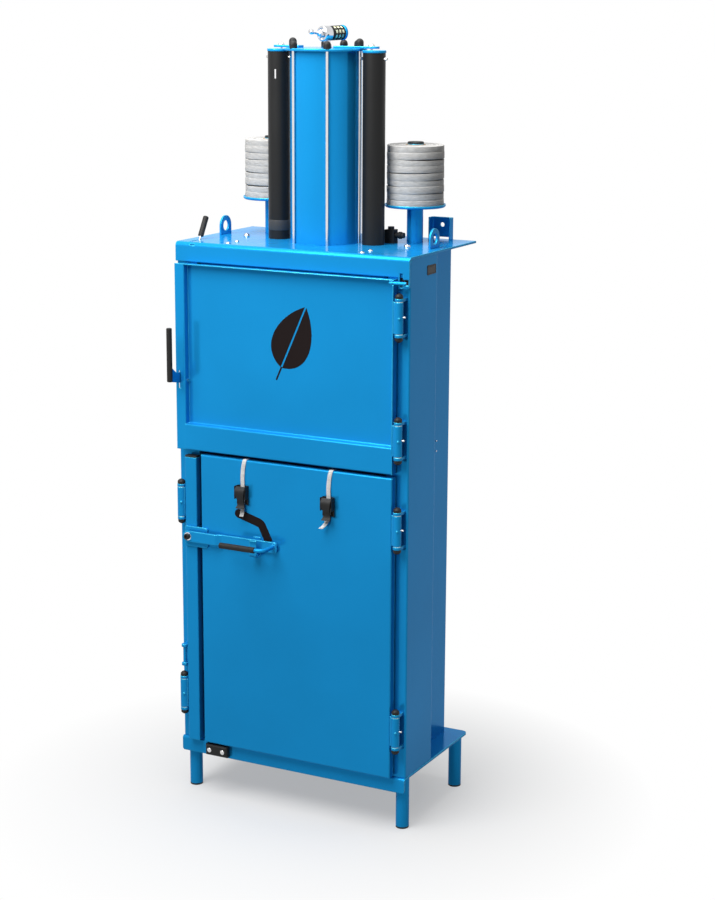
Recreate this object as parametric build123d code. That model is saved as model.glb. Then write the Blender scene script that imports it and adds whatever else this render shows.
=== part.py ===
from build123d import *
import os
from math import atan2, cos, pi, radians, sin

os.makedirs("parts", exist_ok=True)

# Recycling baler with an air cylinder on top, an upper filling door, a lower bale door
# and a lock bar. While it is modelled, x = 0 is the centre plane, y = 0 the front of the
# base lip with +Y to the back, and z = 0 the floor. At the end every piece is shifted so
# that the origin is the middle of the whole machine's box, on the floor.

# Sheets and plates
SHEET = 3.0
PLATE = 6.0
FIT = 0.03
RUNNING_FIT = 0.05
SEAT_GAP = 0.3

# Base plate, legs and feet
PLATE_WIDTH = 735.0
BASE_DEPTH = 430.0
BASE_TOP = 160.0
BASE_LIP = 44.0
BASE_BEND = 8.0
BASE_BACK_CORNER = 18.0
BASE_LIP_CORNER = 7.0
LEG_RADIUS = 19.0
LEG_WALL = 3.0
LEG_INSET = 23.2
LEG_X = PLATE_WIDTH / 2 - LEG_INSET
LEG_FRONT_Y = 37.6
LEG_BACK_INSET = 40.7
LEG_BACK_Y = BASE_DEPTH - LEG_BACK_INSET
FOOT_HEIGHT = 5.0
FOOT_PLUG = 18.0

# Chamber and columns
PLATE_OVERHANG = 1.0
BODY_HALF = PLATE_WIDTH / 2 - PLATE_OVERHANG
COLUMN_WIDTH = 63.0
CHAMBER_HALF = BODY_HALF - COLUMN_WIDTH
COLUMN_FRONT = 8.0
COLUMN_DEPTH = 170.0
COLUMN_BEND = 5.0
BACK_LEDGE = 27.0
CHAMBER_BACK = BASE_DEPTH - BACK_LEDGE
CHAMBER_BEND = 6.0

# Top plate
HEAD_TOP = 1632.0
HEAD_FRONT = 2.0
HEAD_SHORT = 2.0
HEAD_BACK = BASE_DEPTH - HEAD_SHORT
HEAD_LIP = 54.5
HEAD_LIP_BOTTOM = HEAD_TOP - HEAD_LIP
HEAD_BEND = 12.0
TAB_WIDTH = 33.5
TAB_LEFT = PLATE_WIDTH / 2 - TAB_WIDTH
TAB_DROP = 31.5
TAB_BOTTOM = HEAD_LIP_BOTTOM - TAB_DROP
TAB_CORNER = 8.0
TAB_SLOT_IN = 4.0
TAB_SLOT_WIDTH = 10.0
TAB_SLOT_DOWN = 14.0
TAB_SLOT_UP = 24.0
ROD_SLOT_EDGE = 2.5
ROD_SLOT_DOWN = 7.0
ROD_SLOT_UP = 8.0
LIP_NOTCH_ASIDE = 8.5
LIP_NOTCH_WIDTH = 15.0
LIP_NOTCH_LOW = 9.0
LIP_NOTCH_HIGH = 5.0
WINDOW_HALF = 12.0

# Press cylinder
PRESS_Y = 213.0
CYLINDER_RADIUS = 100.0
CYLINDER_WALL = 4.0
CYLINDER_LENGTH = 528.0
CYLINDER_TOP = HEAD_TOP + CYLINDER_LENGTH
CAP_RADIUS = 114.0
CAP_THICK = 7.0
TIE_CIRCLE = 105.0
TIE_RADIUS = 4.0
TIE_ANGLES = (-120, -60, 0, 60, 120, 180)
NUT_RADIUS = 11.0
NUT_HEIGHT = 21.0
LOWER_HEAD_THICK = 18.0
PISTON_THICK = 40.0
PISTON_TOP_GAP = 20.0
ROD_RADIUS = 25.0
PLATEN_GAP = 7.5
PLATEN_WIDTH = 2 * (CHAMBER_HALF - SHEET - PLATEN_GAP)
PLATEN_DEPTH = 378.0
PLATEN_DROP = 87.0
PLATEN_BOTTOM = HEAD_TOP - PLATEN_DROP
PLATEN_RIM = 40.0
PLATEN_SHEET = 5.0

# Guide tubes beside the cylinder, and their rods
GUIDE_X = 150.0
GUIDE_RADIUS = 31.5
GUIDE_WALL = 3.0
GUIDE_SHORT = 4.0
GUIDE_TOP = CYLINDER_TOP - GUIDE_SHORT
GUIDE_CAP_THICK = 7.0
GUIDE_ROD_RADIUS = 15.0
GUIDE_ROD_SHORT = 96.0
GUIDE_ROD_TOP = GUIDE_TOP - GUIDE_ROD_SHORT
SIGHT_SLOT_DROP = 49.0
SIGHT_SLOT_LENGTH = 28.0
SIGHT_SLOT_HIGH = GUIDE_TOP - SIGHT_SLOT_DROP
SIGHT_SLOT_LOW = SIGHT_SLOT_HIGH - SIGHT_SLOT_LENGTH
SIGHT_SLOT_WIDTH = 4.0
SIGHT_SLOT_TURN = 29.8
SIGHT_SLOT_ASIDE = 10.5

# Strips that hold the guide tubes to the cylinder cap
ARM_THICK = 6.0
ARM_WIDTH = 28.0
ARM_OUT = 164.0
LEFT_ARM_IN = 79.0
RIGHT_ARM_IN = 30.0
ARM_BOLT_X = 142.0

# Exhaust silencer on the cylinder cap
SILENCER_X = 2.0
SILENCER_Y = 205.0
SILENCER_RISE = 41.0
SILENCER_AXIS = CYLINDER_TOP + CAP_THICK + SILENCER_RISE
SILENCER_TURN = 12.0
SILENCER_RADIUS = 21.0
SILENCER_CAGE_RADIUS = 20.0
SILENCER_FRONT = 14.0
SILENCER_BODY = 34.0
SILENCER_CAGE = 74.0
SILENCER_RING = 8.0
SILENCER_STUB = 7.0
SILENCER_NUT = 12.0
SILENCER_NUT_HEIGHT = 10.0
SILENCER_CHAMFER = 2.0
NIPPLE_LENGTH = 46.0
NIPPLE_ROOT = 9.0
NIPPLE_NECK = 6.0
NIPPLE_BARB = 8.0
NIPPLE_TIP = 4.0

# Strapping rolls on their posts
POST_X = 229.7
POST_Y = 313.9
POST_RADIUS = 23.0
POST_WALL = 3.0
POST_HEIGHT = 275.0
POST_TOP = HEAD_TOP + POST_HEIGHT
POST_CAP = 6.0
DISH_RADIUS = 86.0
DISH_RISE = 100.0
DISH_FLOOR = HEAD_TOP + DISH_RISE
DISH_RIM = 8.0
ROLL_RADIUS = 80.0
ROLL_SHORT = 3.0
ROLL_TOP = POST_TOP - ROLL_SHORT
CORE_INNER = 24.0
CORE_OUTER = 28.0

# Lifting eyes and wall brackets
EYE_INSET = 32.5
EYE_X = PLATE_WIDTH / 2 - EYE_INSET
EYE_THICK = 5.0
EYE_RADIUS = 29.0
EYE_HOLE = 15.0
EYE_Y = 220.0
EYE_RISE = 25.5
EYE_Z = HEAD_TOP + EYE_RISE
BRACKET_INSET = 104.5
BRACKET_X = PLATE_WIDTH / 2 - BRACKET_INSET
BRACKET_WIDTH = 68.0
BRACKET_DEPTH = 25.0
BRACKET_HEIGHT = 62.6
BRACKET_SHEET = 4.0
BRACKET_GAP = 6.0
BRACKET_HOLE = 6.5
BRACKET_HOLE_UP = 41.0

# Control lever in its slot at the left of the top plate
LEVER_INSET = 39.0
LEVER_X = LEVER_INSET - PLATE_WIDTH / 2
LEVER_Y = 45.0
LEVER_DROP = 40.0
LEVER_Z = HEAD_TOP - LEVER_DROP
LEVER_LEAN = 30.5
LEVER_ROD = 2.8
LEVER_GRIP_RADIUS = 8.0
LEVER_GRIP_START = 58.0
LEVER_GRIP_LENGTH = 60.0
LEVER_SLOT_WIDTH = 7.0
LEVER_SLOT_LENGTH = 61.0
LEVER_HUB = 7.0
LEVER_HUB_WIDTH = 15.0
LEVER_PIN = 2.5
VALVE_LEFT = 22.0
VALVE_RIGHT = 16.0
VALVE_HALF_DEPTH = 20.0
VALVE_HEIGHT = 38.0
VALVE_GAP = 3.0
VALVE_CHEEK = 4.0

# Air regulator behind the right guide tube
REGULATOR_X = 178.0
REGULATOR_Y = 268.0
REGULATOR_SIZE = 30.0
REGULATOR_HEIGHT = 38.0
REGULATOR_CHAMFER = 3.0
KNOB_RADIUS = 9.0
KNOB_HEIGHT = 8.0
INLET_RADIUS = 8.0
INLET_LENGTH = 26.0
INLET_RISE = 22.8
COLLAR_RADIUS = 10.0
COLLAR_OUT = 10.0
COLLAR_WIDTH = 8.0

# Doors: planes shared by both doors
DOOR_FRONT = -21.0
DOOR_BACK = 3.0
DOOR_INSET = 35.5
DOOR_RIGHT = BODY_HALF - DOOR_INSET
HINGE_INSET = 19.5
HINGE_X = BODY_HALF - HINGE_INSET
HINGE_Y = -17.5
UPPER_DROP = 58.5
UPPER_HIGH = HEAD_TOP - UPPER_DROP
UPPER_HEIGHT = 533.5
UPPER_LOW = UPPER_HIGH - UPPER_HEIGHT
DOOR_GAP = 10.0
LOWER_HIGH = UPPER_LOW - DOOR_GAP
LOWER_RISE = 2.0
LOWER_LOW = BASE_TOP + LOWER_RISE

# Hinges
BARREL_RADIUS = 12.0
BARREL_HALF = 43.0
WASHER_THICK = 1.2
WASHER_RADIUS = 11.0
EAR_THICK = 8.0
EAR_START = 44.5
HINGE_BOLT = 6.0
HINGE_CAP_RADIUS = 11.0
HINGE_CAP_HEIGHT = 14.0
HINGE_CAP_HOLE = 6.0
LEAF_THICK = 6.0
UPPER_HINGE_DROP = 102.0
UPPER_HINGE_RISE = 95.5
LOWER_HINGE_DROP = 145.0
LOWER_HINGE_RISE = 142.0
UPPER_HINGES = (UPPER_HIGH - UPPER_HINGE_DROP, UPPER_LOW + UPPER_HINGE_RISE)
LOWER_HINGES = (LOWER_HIGH - LOWER_HINGE_DROP, LOWER_LOW + LOWER_HINGE_RISE)
GREASE_NIPPLE = 2.5

# Upper door
UPPER_INSET = 9.5
UPPER_LEFT = UPPER_INSET - BODY_HALF
STILE_WIDTH = 30.0
STILE_RIGHT = UPPER_LEFT + STILE_WIDTH
RAIL_HEIGHT = 75.0
DOOR_BEND = 4.0
ROD_DROP = 9.5
ROD_Z = UPPER_HIGH - ROD_DROP
ROD_SHORT = 0.5
ROD_END = PLATE_WIDTH / 2 - ROD_SHORT
INTERLOCK_RADIUS = 5.0
INTERLOCK_INSIDE = 10.0
INTERLOCK_COLLAR = 6.2
INTERLOCK_COLLAR_LENGTH = 5.0
INTERLOCK_VALVE_INSET = 6.0
INTERLOCK_VALVE_DEPTH = 36.0
INTERLOCK_VALVE_HALF = 18.0
PLUNGER_RADIUS = 4.0
PLUNGER_ASIDE = 3.0

# Upper door latch handle
LATCH_INSET = 11.5
LATCH_X = UPPER_LEFT + LATCH_INSET
LATCH_THICK = 4.0
LATCH_Y = -6.0
LATCH_RISE = 199.0
LATCH_Z = UPPER_LOW + LATCH_RISE
LATCH_HUB = 10.0
LATCH_PIN = 4.0
LATCH_SLOT_WIDTH = 7.0
LATCH_SLOT_DOWN = 22.0
LATCH_SLOT_UP = 29.0
LATCH_SLOT_LOW = LATCH_Z - LATCH_SLOT_DOWN
LATCH_SLOT_HIGH = LATCH_Z + LATCH_SLOT_UP
LATCH_GRIP_Y = -72.0
LATCH_GRIP_UP = 4.0
LATCH_GRIP_LENGTH = 154.0
LATCH_GRIP_LOW = LATCH_Z + LATCH_GRIP_UP
LATCH_GRIP_HIGH = LATCH_GRIP_LOW + LATCH_GRIP_LENGTH
LATCH_GRIP_RADIUS = 8.0
LATCH_PLATE_HEIGHT = 46.0
LATCH_PIN_HEAD = 4.0
STRIKER_HALF_WIDTH = 11.0
STRIKER_HALF_HEIGHT = 20.0
STRIKER_THICK = 3.0

# Lock bar and the lower door beside it
BAR_INSET = 32.5
BAR_LEFT = BAR_INSET - BODY_HALF
BAR_WIDTH = 39.0
BAR_GAP = 16.0
LOWER_LEFT = BAR_LEFT + BAR_WIDTH + BAR_GAP
BAR_RISE = 1.0
BAR_LOW = LOWER_LOW + BAR_RISE
BAR_SHORT = 12.0
BAR_HIGH = LOWER_HIGH - BAR_SHORT
BAR_FRONT = -20.5
BAR_CORNER = 4.0
GROOVE_WIDTH = 30.0
GROOVE_DEPTH = 12.0
GROOVES = (-134.0, 142.0)

# Lock tongue, lever arm, crank and keeper
PIVOT_X = BAR_LEFT + BAR_WIDTH / 2
PIVOT_DROP = 241.0
PIVOT_Z = LOWER_HIGH - PIVOT_DROP
TONGUE_INSET = 3.0
TONGUE_LENGTH = 75.0
TONGUE_LEFT = BAR_LEFT + TONGUE_INSET
TONGUE_RIGHT = TONGUE_LEFT + TONGUE_LENGTH
TONGUE_DOWN = 32.0
TONGUE_UP = 27.0
TONGUE_LOW = PIVOT_Z - TONGUE_DOWN
TONGUE_HIGH = PIVOT_Z + TONGUE_UP
TONGUE_CORNER = 6.0
PIVOT_RADIUS = 5.0
PIVOT_HEAD = 9.0
PIVOT_HEAD_DEPTH = 8.0
PIVOT_SOCKET_DEPTH = 4.0
ARM_BAR = 6.0
ARM_HEIGHT = 31.0
ARM_END_CORNER = 8.0
ARM_LEFT = PIVOT_X - ARM_HEIGHT / 2
ARM_RIGHT = -25.0
ARM_LEFT_FRONT = -40.0
ARM_RIGHT_FRONT = -31.5
ARM_JOG_GAP = 34.0
ARM_JOG = 16.0
ARM_JOG_LEFT = TONGUE_RIGHT + ARM_JOG_GAP
ARM_JOG_RIGHT = ARM_JOG_LEFT + ARM_JOG
CRANK_RADIUS = 6.0
CRANK_X = -36.0
CRANK_RISE = 3.0
CRANK_Z = PIVOT_Z + CRANK_RISE
CRANK_Y = -88.0
CRANK_BEND = 20.0
CRANK_GRIP_RADIUS = 8.5
CRANK_GRIP_START = -63.0
CRANK_GRIP_END = -177.0
CRANK_GRIP_WALL = 2.0
KEEPER_LEFT = -104.0
KEEPER_WIDTH = 22.0
KEEPER_LOW = TONGUE_LOW
KEEPER_LIP_HEIGHT = 49.0
KEEPER_BACK_HEIGHT = 55.0
KEEPER_LIP = KEEPER_LOW + KEEPER_LIP_HEIGHT
KEEPER_BACK_TOP = KEEPER_LOW + KEEPER_BACK_HEIGHT
KEEPER_FRONT = -48.0
KEEPER_BEND = 8.0

# Cam buckles and the strapping in them
BUCKLES = (-138.0, 138.0)
BUCKLE_WIDTH = 36.0
BUCKLE_DROP = 73.0
BUCKLE_HEIGHT = 55.0
BUCKLE_HIGH = LOWER_HIGH - BUCKLE_DROP
BUCKLE_LOW = BUCKLE_HIGH - BUCKLE_HEIGHT
BUCKLE_DEPTH = 21.0
BUCKLE_SHEET = 2.0
BUCKLE_STEP = 18.0
BUCKLE_STEP_DEPTH = 6.0
BUCKLE_PIN = 2.5
BUCKLE_PIN_Y = -36.0
BUCKLE_PIN_DOWN = 12.0
BUCKLE_PIN_Z = BUCKLE_HIGH - BUCKLE_PIN_DOWN
FLAP_TAB_DROP = 9.0
FLAP_TAB_LOW = BUCKLE_LOW - FLAP_TAB_DROP
STRAP_WIDTH = 15.0
STRAP_THICK = 1.0
STRAP_TAIL_DROP = 34.0
STRAP_TAIL = BUCKLE_LOW - STRAP_TAIL_DROP
STRAP_INSIDE = 330.0
STRAP_INSIDE_LOW = LOWER_HIGH - STRAP_INSIDE

# Loop on the left column and stop block on the base lip
LOOP_LOW = 387.0
LOOP_HEIGHT = 65.0
LOOP_WIDTH = 18.0
LOOP_ARM = 8.0
LOOP_FRONT = -22.0
LOOP_BAR = 5.0
BLOCK_INSET = 89.5
BLOCK_LEFT = BLOCK_INSET - PLATE_WIDTH / 2
BLOCK_WIDTH = 73.0
BLOCK_DROP = 38.5
BLOCK_LOW = BASE_TOP - BLOCK_DROP
BLOCK_HEIGHT = 33.5
BLOCK_DEPTH = 18.0
BLOCK_CHAMFER = 4.0
BLOCK_SCREW_APART = 44.0

# Screws on the top plate, the arms and the stop block
SCREWS = ((-211.0, 28.7), (211.0, 28.7), (-211.0, 77.3), (211.0, 77.3))
SCREW_RADIUS = 7.0
SCREW_DOME = 5.0
LARGE_SCREWS = ((-257.4, 209.8), (257.4, 209.8))
LARGE_SCREW_RADIUS = 9.5
LARGE_SCREW_DOME = 8.0
SCREW_SHANK = 3.0

# Values that follow from the sizes above
HEAD_UNDER = HEAD_TOP - PLATE
TUBE_INNER = CYLINDER_RADIUS - CYLINDER_WALL
CAP_TOP = CYLINDER_TOP + CAP_THICK
COLUMN_BACK = COLUMN_FRONT + COLUMN_DEPTH
PIN_HOLE = HINGE_BOLT + RUNNING_FIT
POST_PLACES = ((-POST_X, POST_Y), (POST_X, POST_Y))
GUIDE_PLACES = ((-GUIDE_X, PRESS_Y), (GUIDE_X, PRESS_Y))
TIE_PLACES = [
    (TIE_CIRCLE * cos(radians(a)), PRESS_Y + TIE_CIRCLE * sin(radians(a))) for a in TIE_ANGLES
]
LEVER_SLOT_START = LEVER_Y - LEVER_SLOT_LENGTH / 2
TONGUE_FRONT = DOOR_FRONT - PLATE

pieces = {}


def block(x0, x1, y0, y1, z0, z1):
    """A straight block between two corners."""
    corner = (Align.MIN, Align.MIN, Align.MIN)
    return Pos(x0, y0, z0) * Box(x1 - x0, y1 - y0, z1 - z0, align=corner)


def post(x, y, z0, z1, radius):
    """A round bar standing along Z."""
    upright = (Align.CENTER, Align.CENTER, Align.MIN)
    return Pos(x, y, z0) * Cylinder(radius, z1 - z0, align=upright)


def bar_x(x0, x1, y, z, radius):
    """A round bar lying along X."""
    return Pos((x0 + x1) / 2, y, z) * Rot(0, 90, 0) * Cylinder(radius, x1 - x0)


def bar_y(x, y0, y1, z, radius):
    """A round bar lying along Y."""
    return Pos(x, (y0 + y1) / 2, z) * Rot(90, 0, 0) * Cylinder(radius, y1 - y0)


def folded_sheet(points, thickness, radius, side, plane, length):
    """A sheet bent along the points on a plane, with its length along the plane's normal."""
    path = FilletPolyline(*points, radius=radius)
    section = make_face(offset(path, amount=thickness, side=side))
    return extrude(plane * section, amount=length)


def turned(points):
    """A piece turned about the Z axis from the outline of one half, given as (radius, z)."""
    return revolve(Plane.XZ * make_face(Polyline(*points, close=True)), Axis.Z)


def domed(radius, height, flat):
    """A round head with a straight skirt and a part of a ball on top, standing on z = 0."""
    side = Line((radius, 0), (radius, flat))
    middle_z = (height**2 - radius**2 - flat**2) / (2 * (height - flat))
    ball = height - middle_z
    halfway = (atan2(flat - middle_z, radius) + pi / 2) / 2
    shoulder = (ball * cos(halfway), middle_z + ball * sin(halfway))
    crown = ThreePointArc((radius, flat), shoulder, (0, height))
    base = Line((0, 0), (radius, 0))
    middle = Line((0, height), (0, 0))
    return revolve(Plane.XZ * make_face(base + side + crown + middle), Axis.Z)


def round_corners(part, axis, radius, *tests):
    """Round the edges along one axis whose middles pass all tests."""
    chosen = part.edges().filter_by(axis)
    for test in tests:
        chosen = chosen.filter_by(test)
    return fillet(chosen, radius)


def screw(x, y, z, radius, dome, length):
    """A button head screw standing on z, with its shank going down."""
    return Pos(x, y, z) * domed(radius, dome, 1.0) + post(x, y, z - length, z, SCREW_SHANK)


def base_plate():
    points = ((BASE_DEPTH, BASE_TOP), (0, BASE_TOP), (0, BASE_TOP - BASE_LIP))
    start = Plane.YZ.offset(-PLATE_WIDTH / 2)
    part = folded_sheet(points, PLATE, BASE_BEND, Side.LEFT, start, PLATE_WIDTH)
    part = round_corners(part, Axis.Z, BASE_BACK_CORNER, lambda e: e.center().Y > BASE_DEPTH - 1)
    part = round_corners(
        part, Axis.Y, BASE_LIP_CORNER, lambda e: e.center().Z < BASE_TOP - BASE_LIP + 1
    )
    relief = PLATE / 2
    for side in (-1, 1):
        part -= post(side * PLATE_WIDTH / 2, BASE_BEND + relief, BASE_TOP - 2 * PLATE, BASE_TOP + 1, relief)
    return part


def leg(x, y):
    outer = post(x, y, FOOT_HEIGHT, BASE_TOP - PLATE, LEG_RADIUS)
    return outer - post(x, y, 0, BASE_TOP, LEG_RADIUS - LEG_WALL)


def leg_foot(x, y):
    plug = LEG_RADIUS - LEG_WALL - FIT
    profile = (
        (0, 0), (LEG_RADIUS - 1, 0), (LEG_RADIUS, 1), (LEG_RADIUS, FOOT_HEIGHT),
        (plug, FOOT_HEIGHT), (plug, FOOT_HEIGHT + FOOT_PLUG), (0, FOOT_HEIGHT + FOOT_PLUG),
    )
    return Pos(x, y, 0) * turned(profile)


def head_bend_room():
    """The corner that the inside of the top plate's bend fills, notched out of what it caps."""
    back = HEAD_FRONT + PLATE
    room = HEAD_BEND - PLATE
    return block(-BODY_HALF, BODY_HALF, back - 1, back + room, HEAD_UNDER - room, HEAD_UNDER + 1)


def right_column():
    points = (
        (CHAMBER_HALF - SHEET, COLUMN_FRONT), (BODY_HALF, COLUMN_FRONT),
        (BODY_HALF, COLUMN_BACK), (CHAMBER_HALF, COLUMN_BACK),
    )
    start = Plane.XY.offset(BASE_TOP)
    part = folded_sheet(points, SHEET, COLUMN_BEND, Side.LEFT, start, HEAD_UNDER - BASE_TOP)
    return part - head_bend_room()


def interlock_window():
    """The opening in the right column, behind the tab of the top plate."""
    right = BODY_HALF - COLUMN_BEND
    low = ROD_Z - WINDOW_HALF
    return block(TAB_LEFT, right, 0, COLUMN_FRONT + SHEET + 1, low, ROD_Z + WINDOW_HALF)


def chamber_shell():
    front = COLUMN_FRONT + SHEET
    points = (
        (CHAMBER_HALF, front), (CHAMBER_HALF, CHAMBER_BACK),
        (-CHAMBER_HALF, CHAMBER_BACK), (-CHAMBER_HALF, front),
    )
    start = Plane.XY.offset(BASE_TOP)
    part = folded_sheet(points, SHEET, CHAMBER_BEND, Side.LEFT, start, HEAD_UNDER - BASE_TOP)
    return part - head_bend_room()


def top_plate():
    points = ((HEAD_BACK, HEAD_TOP), (HEAD_FRONT, HEAD_TOP), (HEAD_FRONT, HEAD_LIP_BOTTOM))
    start = Plane.YZ.offset(-PLATE_WIDTH / 2)
    part = folded_sheet(points, PLATE, HEAD_BEND, Side.LEFT, start, PLATE_WIDTH)
    right = PLATE_WIDTH / 2
    part += block(TAB_LEFT, right, HEAD_FRONT, HEAD_FRONT + PLATE, TAB_BOTTOM, HEAD_LIP_BOTTOM)
    part = round_corners(
        part, Axis.Y, TAB_CORNER,
        lambda e: e.center().Z < TAB_BOTTOM + 1, lambda e: e.center().X > TAB_LEFT + 1,
    )
    back = HEAD_FRONT + PLATE + 1
    slot = TAB_LEFT + TAB_SLOT_IN
    part -= block(slot, slot + TAB_SLOT_WIDTH, 0, back, ROD_Z - TAB_SLOT_DOWN, ROD_Z + TAB_SLOT_UP)
    part -= block(slot, right - ROD_SLOT_EDGE, 0, back, ROD_Z - ROD_SLOT_DOWN, ROD_Z + ROD_SLOT_UP)
    half = LEVER_SLOT_WIDTH / 2
    slot_end = LEVER_SLOT_START + LEVER_SLOT_LENGTH
    part -= block(LEVER_X - half, LEVER_X + half, LEVER_SLOT_START, slot_end, HEAD_UNDER - 1, HEAD_TOP + 1)
    notch = LEVER_X + LIP_NOTCH_ASIDE
    low = HEAD_TOP - LIP_NOTCH_LOW
    part -= block(notch, notch + LIP_NOTCH_WIDTH, 0, PLATE, low, HEAD_TOP - LIP_NOTCH_HIGH)
    part -= post(0, PRESS_Y, HEAD_UNDER - 1, HEAD_TOP + 1, ROD_RADIUS + 1)
    for x, y in GUIDE_PLACES:
        part -= post(x, y, HEAD_UNDER - 1, HEAD_TOP + 1, GUIDE_ROD_RADIUS + RUNNING_FIT)
    for x, y in TIE_PLACES:
        part -= post(x, y, HEAD_UNDER - 1, HEAD_TOP + 1, TIE_RADIUS + FIT)
    for x, y in SCREWS + LARGE_SCREWS:
        part -= post(x, y, HEAD_UNDER - 1, HEAD_TOP + 1, SCREW_SHANK + FIT)
    return part


def cylinder_tube():
    outer = post(0, PRESS_Y, HEAD_TOP, CYLINDER_TOP, CYLINDER_RADIUS)
    return outer - post(0, PRESS_Y, HEAD_TOP - 1, CYLINDER_TOP + 1, TUBE_INNER)


def cylinder_lower_head():
    """The rod's bush, standing on the top plate inside the tube."""
    disc = post(0, PRESS_Y, HEAD_TOP, HEAD_TOP + LOWER_HEAD_THICK, TUBE_INNER - FIT)
    return disc - post(0, PRESS_Y, HEAD_TOP - 1, CYLINDER_TOP, ROD_RADIUS + RUNNING_FIT)


def cylinder_cap():
    disc = post(0, PRESS_Y, CYLINDER_TOP, CAP_TOP, CAP_RADIUS)
    disc = chamfer(disc.edges().group_by(Axis.Z)[-1], 1)
    for x, y in TIE_PLACES:
        disc -= post(x, y, CYLINDER_TOP - 1, CAP_TOP + 1, TIE_RADIUS + FIT)
    return disc


def tie_rod_seat(y):
    """The face under a tie rod's nut: the strips are clamped by the two middle nuts."""
    return CAP_TOP + ARM_THICK if abs(y - PRESS_Y) < TIE_RADIUS else CAP_TOP


def tie_rod(x, y):
    return post(x, y, HEAD_UNDER, tie_rod_seat(y) + NUT_HEIGHT / 2, TIE_RADIUS)


def tie_rod_nut(x, y):
    nut = domed(NUT_RADIUS, NUT_HEIGHT, NUT_HEIGHT - NUT_RADIUS)
    nut -= post(0, 0, -1, NUT_HEIGHT / 2 + 1, TIE_RADIUS + FIT)
    return Pos(x, y, tie_rod_seat(y)) * nut


def piston():
    top = CYLINDER_TOP - PISTON_TOP_GAP
    disc = post(0, PRESS_Y, top - PISTON_THICK, top, TUBE_INNER - RUNNING_FIT)
    groove = PISTON_THICK / 4
    for z in (top - groove, top - 3 * groove):
        ring = post(0, PRESS_Y, z - 2, z + 2, CYLINDER_RADIUS)
        disc -= ring - post(0, PRESS_Y, z - 3, z + 3, TUBE_INNER - 6)
    return disc


def piston_rod():
    top = CYLINDER_TOP - PISTON_TOP_GAP - PISTON_THICK
    return post(0, PRESS_Y, PLATEN_BOTTOM + PLATEN_SHEET, top, ROD_RADIUS)


def platen():
    half_x = PLATEN_WIDTH / 2
    half_y = PLATEN_DEPTH / 2
    middle = Pos(0, (SHEET + CHAMBER_BACK) / 2 + 2, PLATEN_BOTTOM)
    low = (Align.CENTER, Align.CENTER, Align.MIN)
    tray = middle * Box(2 * half_x, 2 * half_y, PLATEN_RIM, align=low)
    hollow = middle * Pos(0, 0, PLATEN_SHEET)
    tray -= hollow * Box(
        2 * (half_x - PLATEN_SHEET), 2 * (half_y - PLATEN_SHEET), PLATEN_RIM, align=low
    )
    return tray


def guide_rod(x, y):
    return post(x, y, PLATEN_BOTTOM + PLATEN_SHEET, GUIDE_ROD_TOP, GUIDE_ROD_RADIUS)


def guide_tube(x, y):
    outer = post(x, y, HEAD_TOP, GUIDE_TOP, GUIDE_RADIUS)
    return outer - post(x, y, HEAD_TOP - 1, GUIDE_TOP + 1, GUIDE_RADIUS - GUIDE_WALL)


def sight_slot():
    """A narrow upright slot straight through the left guide tube."""
    middle = (SIGHT_SLOT_LOW + SIGHT_SLOT_HIGH) / 2
    cut = Box(SIGHT_SLOT_WIDTH, 4 * GUIDE_RADIUS, SIGHT_SLOT_HIGH - SIGHT_SLOT_LOW)
    return Pos(-GUIDE_X, PRESS_Y, middle) * Rot(0, 0, SIGHT_SLOT_TURN) * Pos(-SIGHT_SLOT_ASIDE, 0, 0) * cut


def guide_cap(x, y):
    disc = post(x, y, GUIDE_TOP, GUIDE_TOP + GUIDE_CAP_THICK, GUIDE_RADIUS + 1.5)
    disc = chamfer(disc.edges().group_by(Axis.Z)[-1], 1)
    bolt_x = ARM_BOLT_X if x > 0 else -ARM_BOLT_X
    return disc - post(bolt_x, y, GUIDE_TOP - 1, GUIDE_TOP + GUIDE_CAP_THICK + 1, SCREW_SHANK + FIT)


def cap_arm(inner, outer):
    """A strip over the cylinder cap, round at its outer end, drilled for its bolt."""
    half = ARM_WIDTH / 2
    strip = block(inner, outer, PRESS_Y - half, PRESS_Y + half, CAP_TOP, CAP_TOP + ARM_THICK)
    strip = round_corners(strip, Axis.Z, ARM_WIDTH / 2 - 1, lambda e: e.center().X > outer - 1)
    strip -= post(TIE_CIRCLE, PRESS_Y, CAP_TOP - 1, CAP_TOP + ARM_THICK + 1, TIE_RADIUS + FIT)
    return strip - post(ARM_BOLT_X, PRESS_Y, CAP_TOP - 1, CAP_TOP + ARM_THICK + 1, SCREW_SHANK + FIT)


def arm_screw(side):
    top = CAP_TOP + ARM_THICK
    return screw(side * ARM_BOLT_X, PRESS_Y, top, LARGE_SCREW_RADIUS, LARGE_SCREW_DOME, top - GUIDE_TOP)


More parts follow.
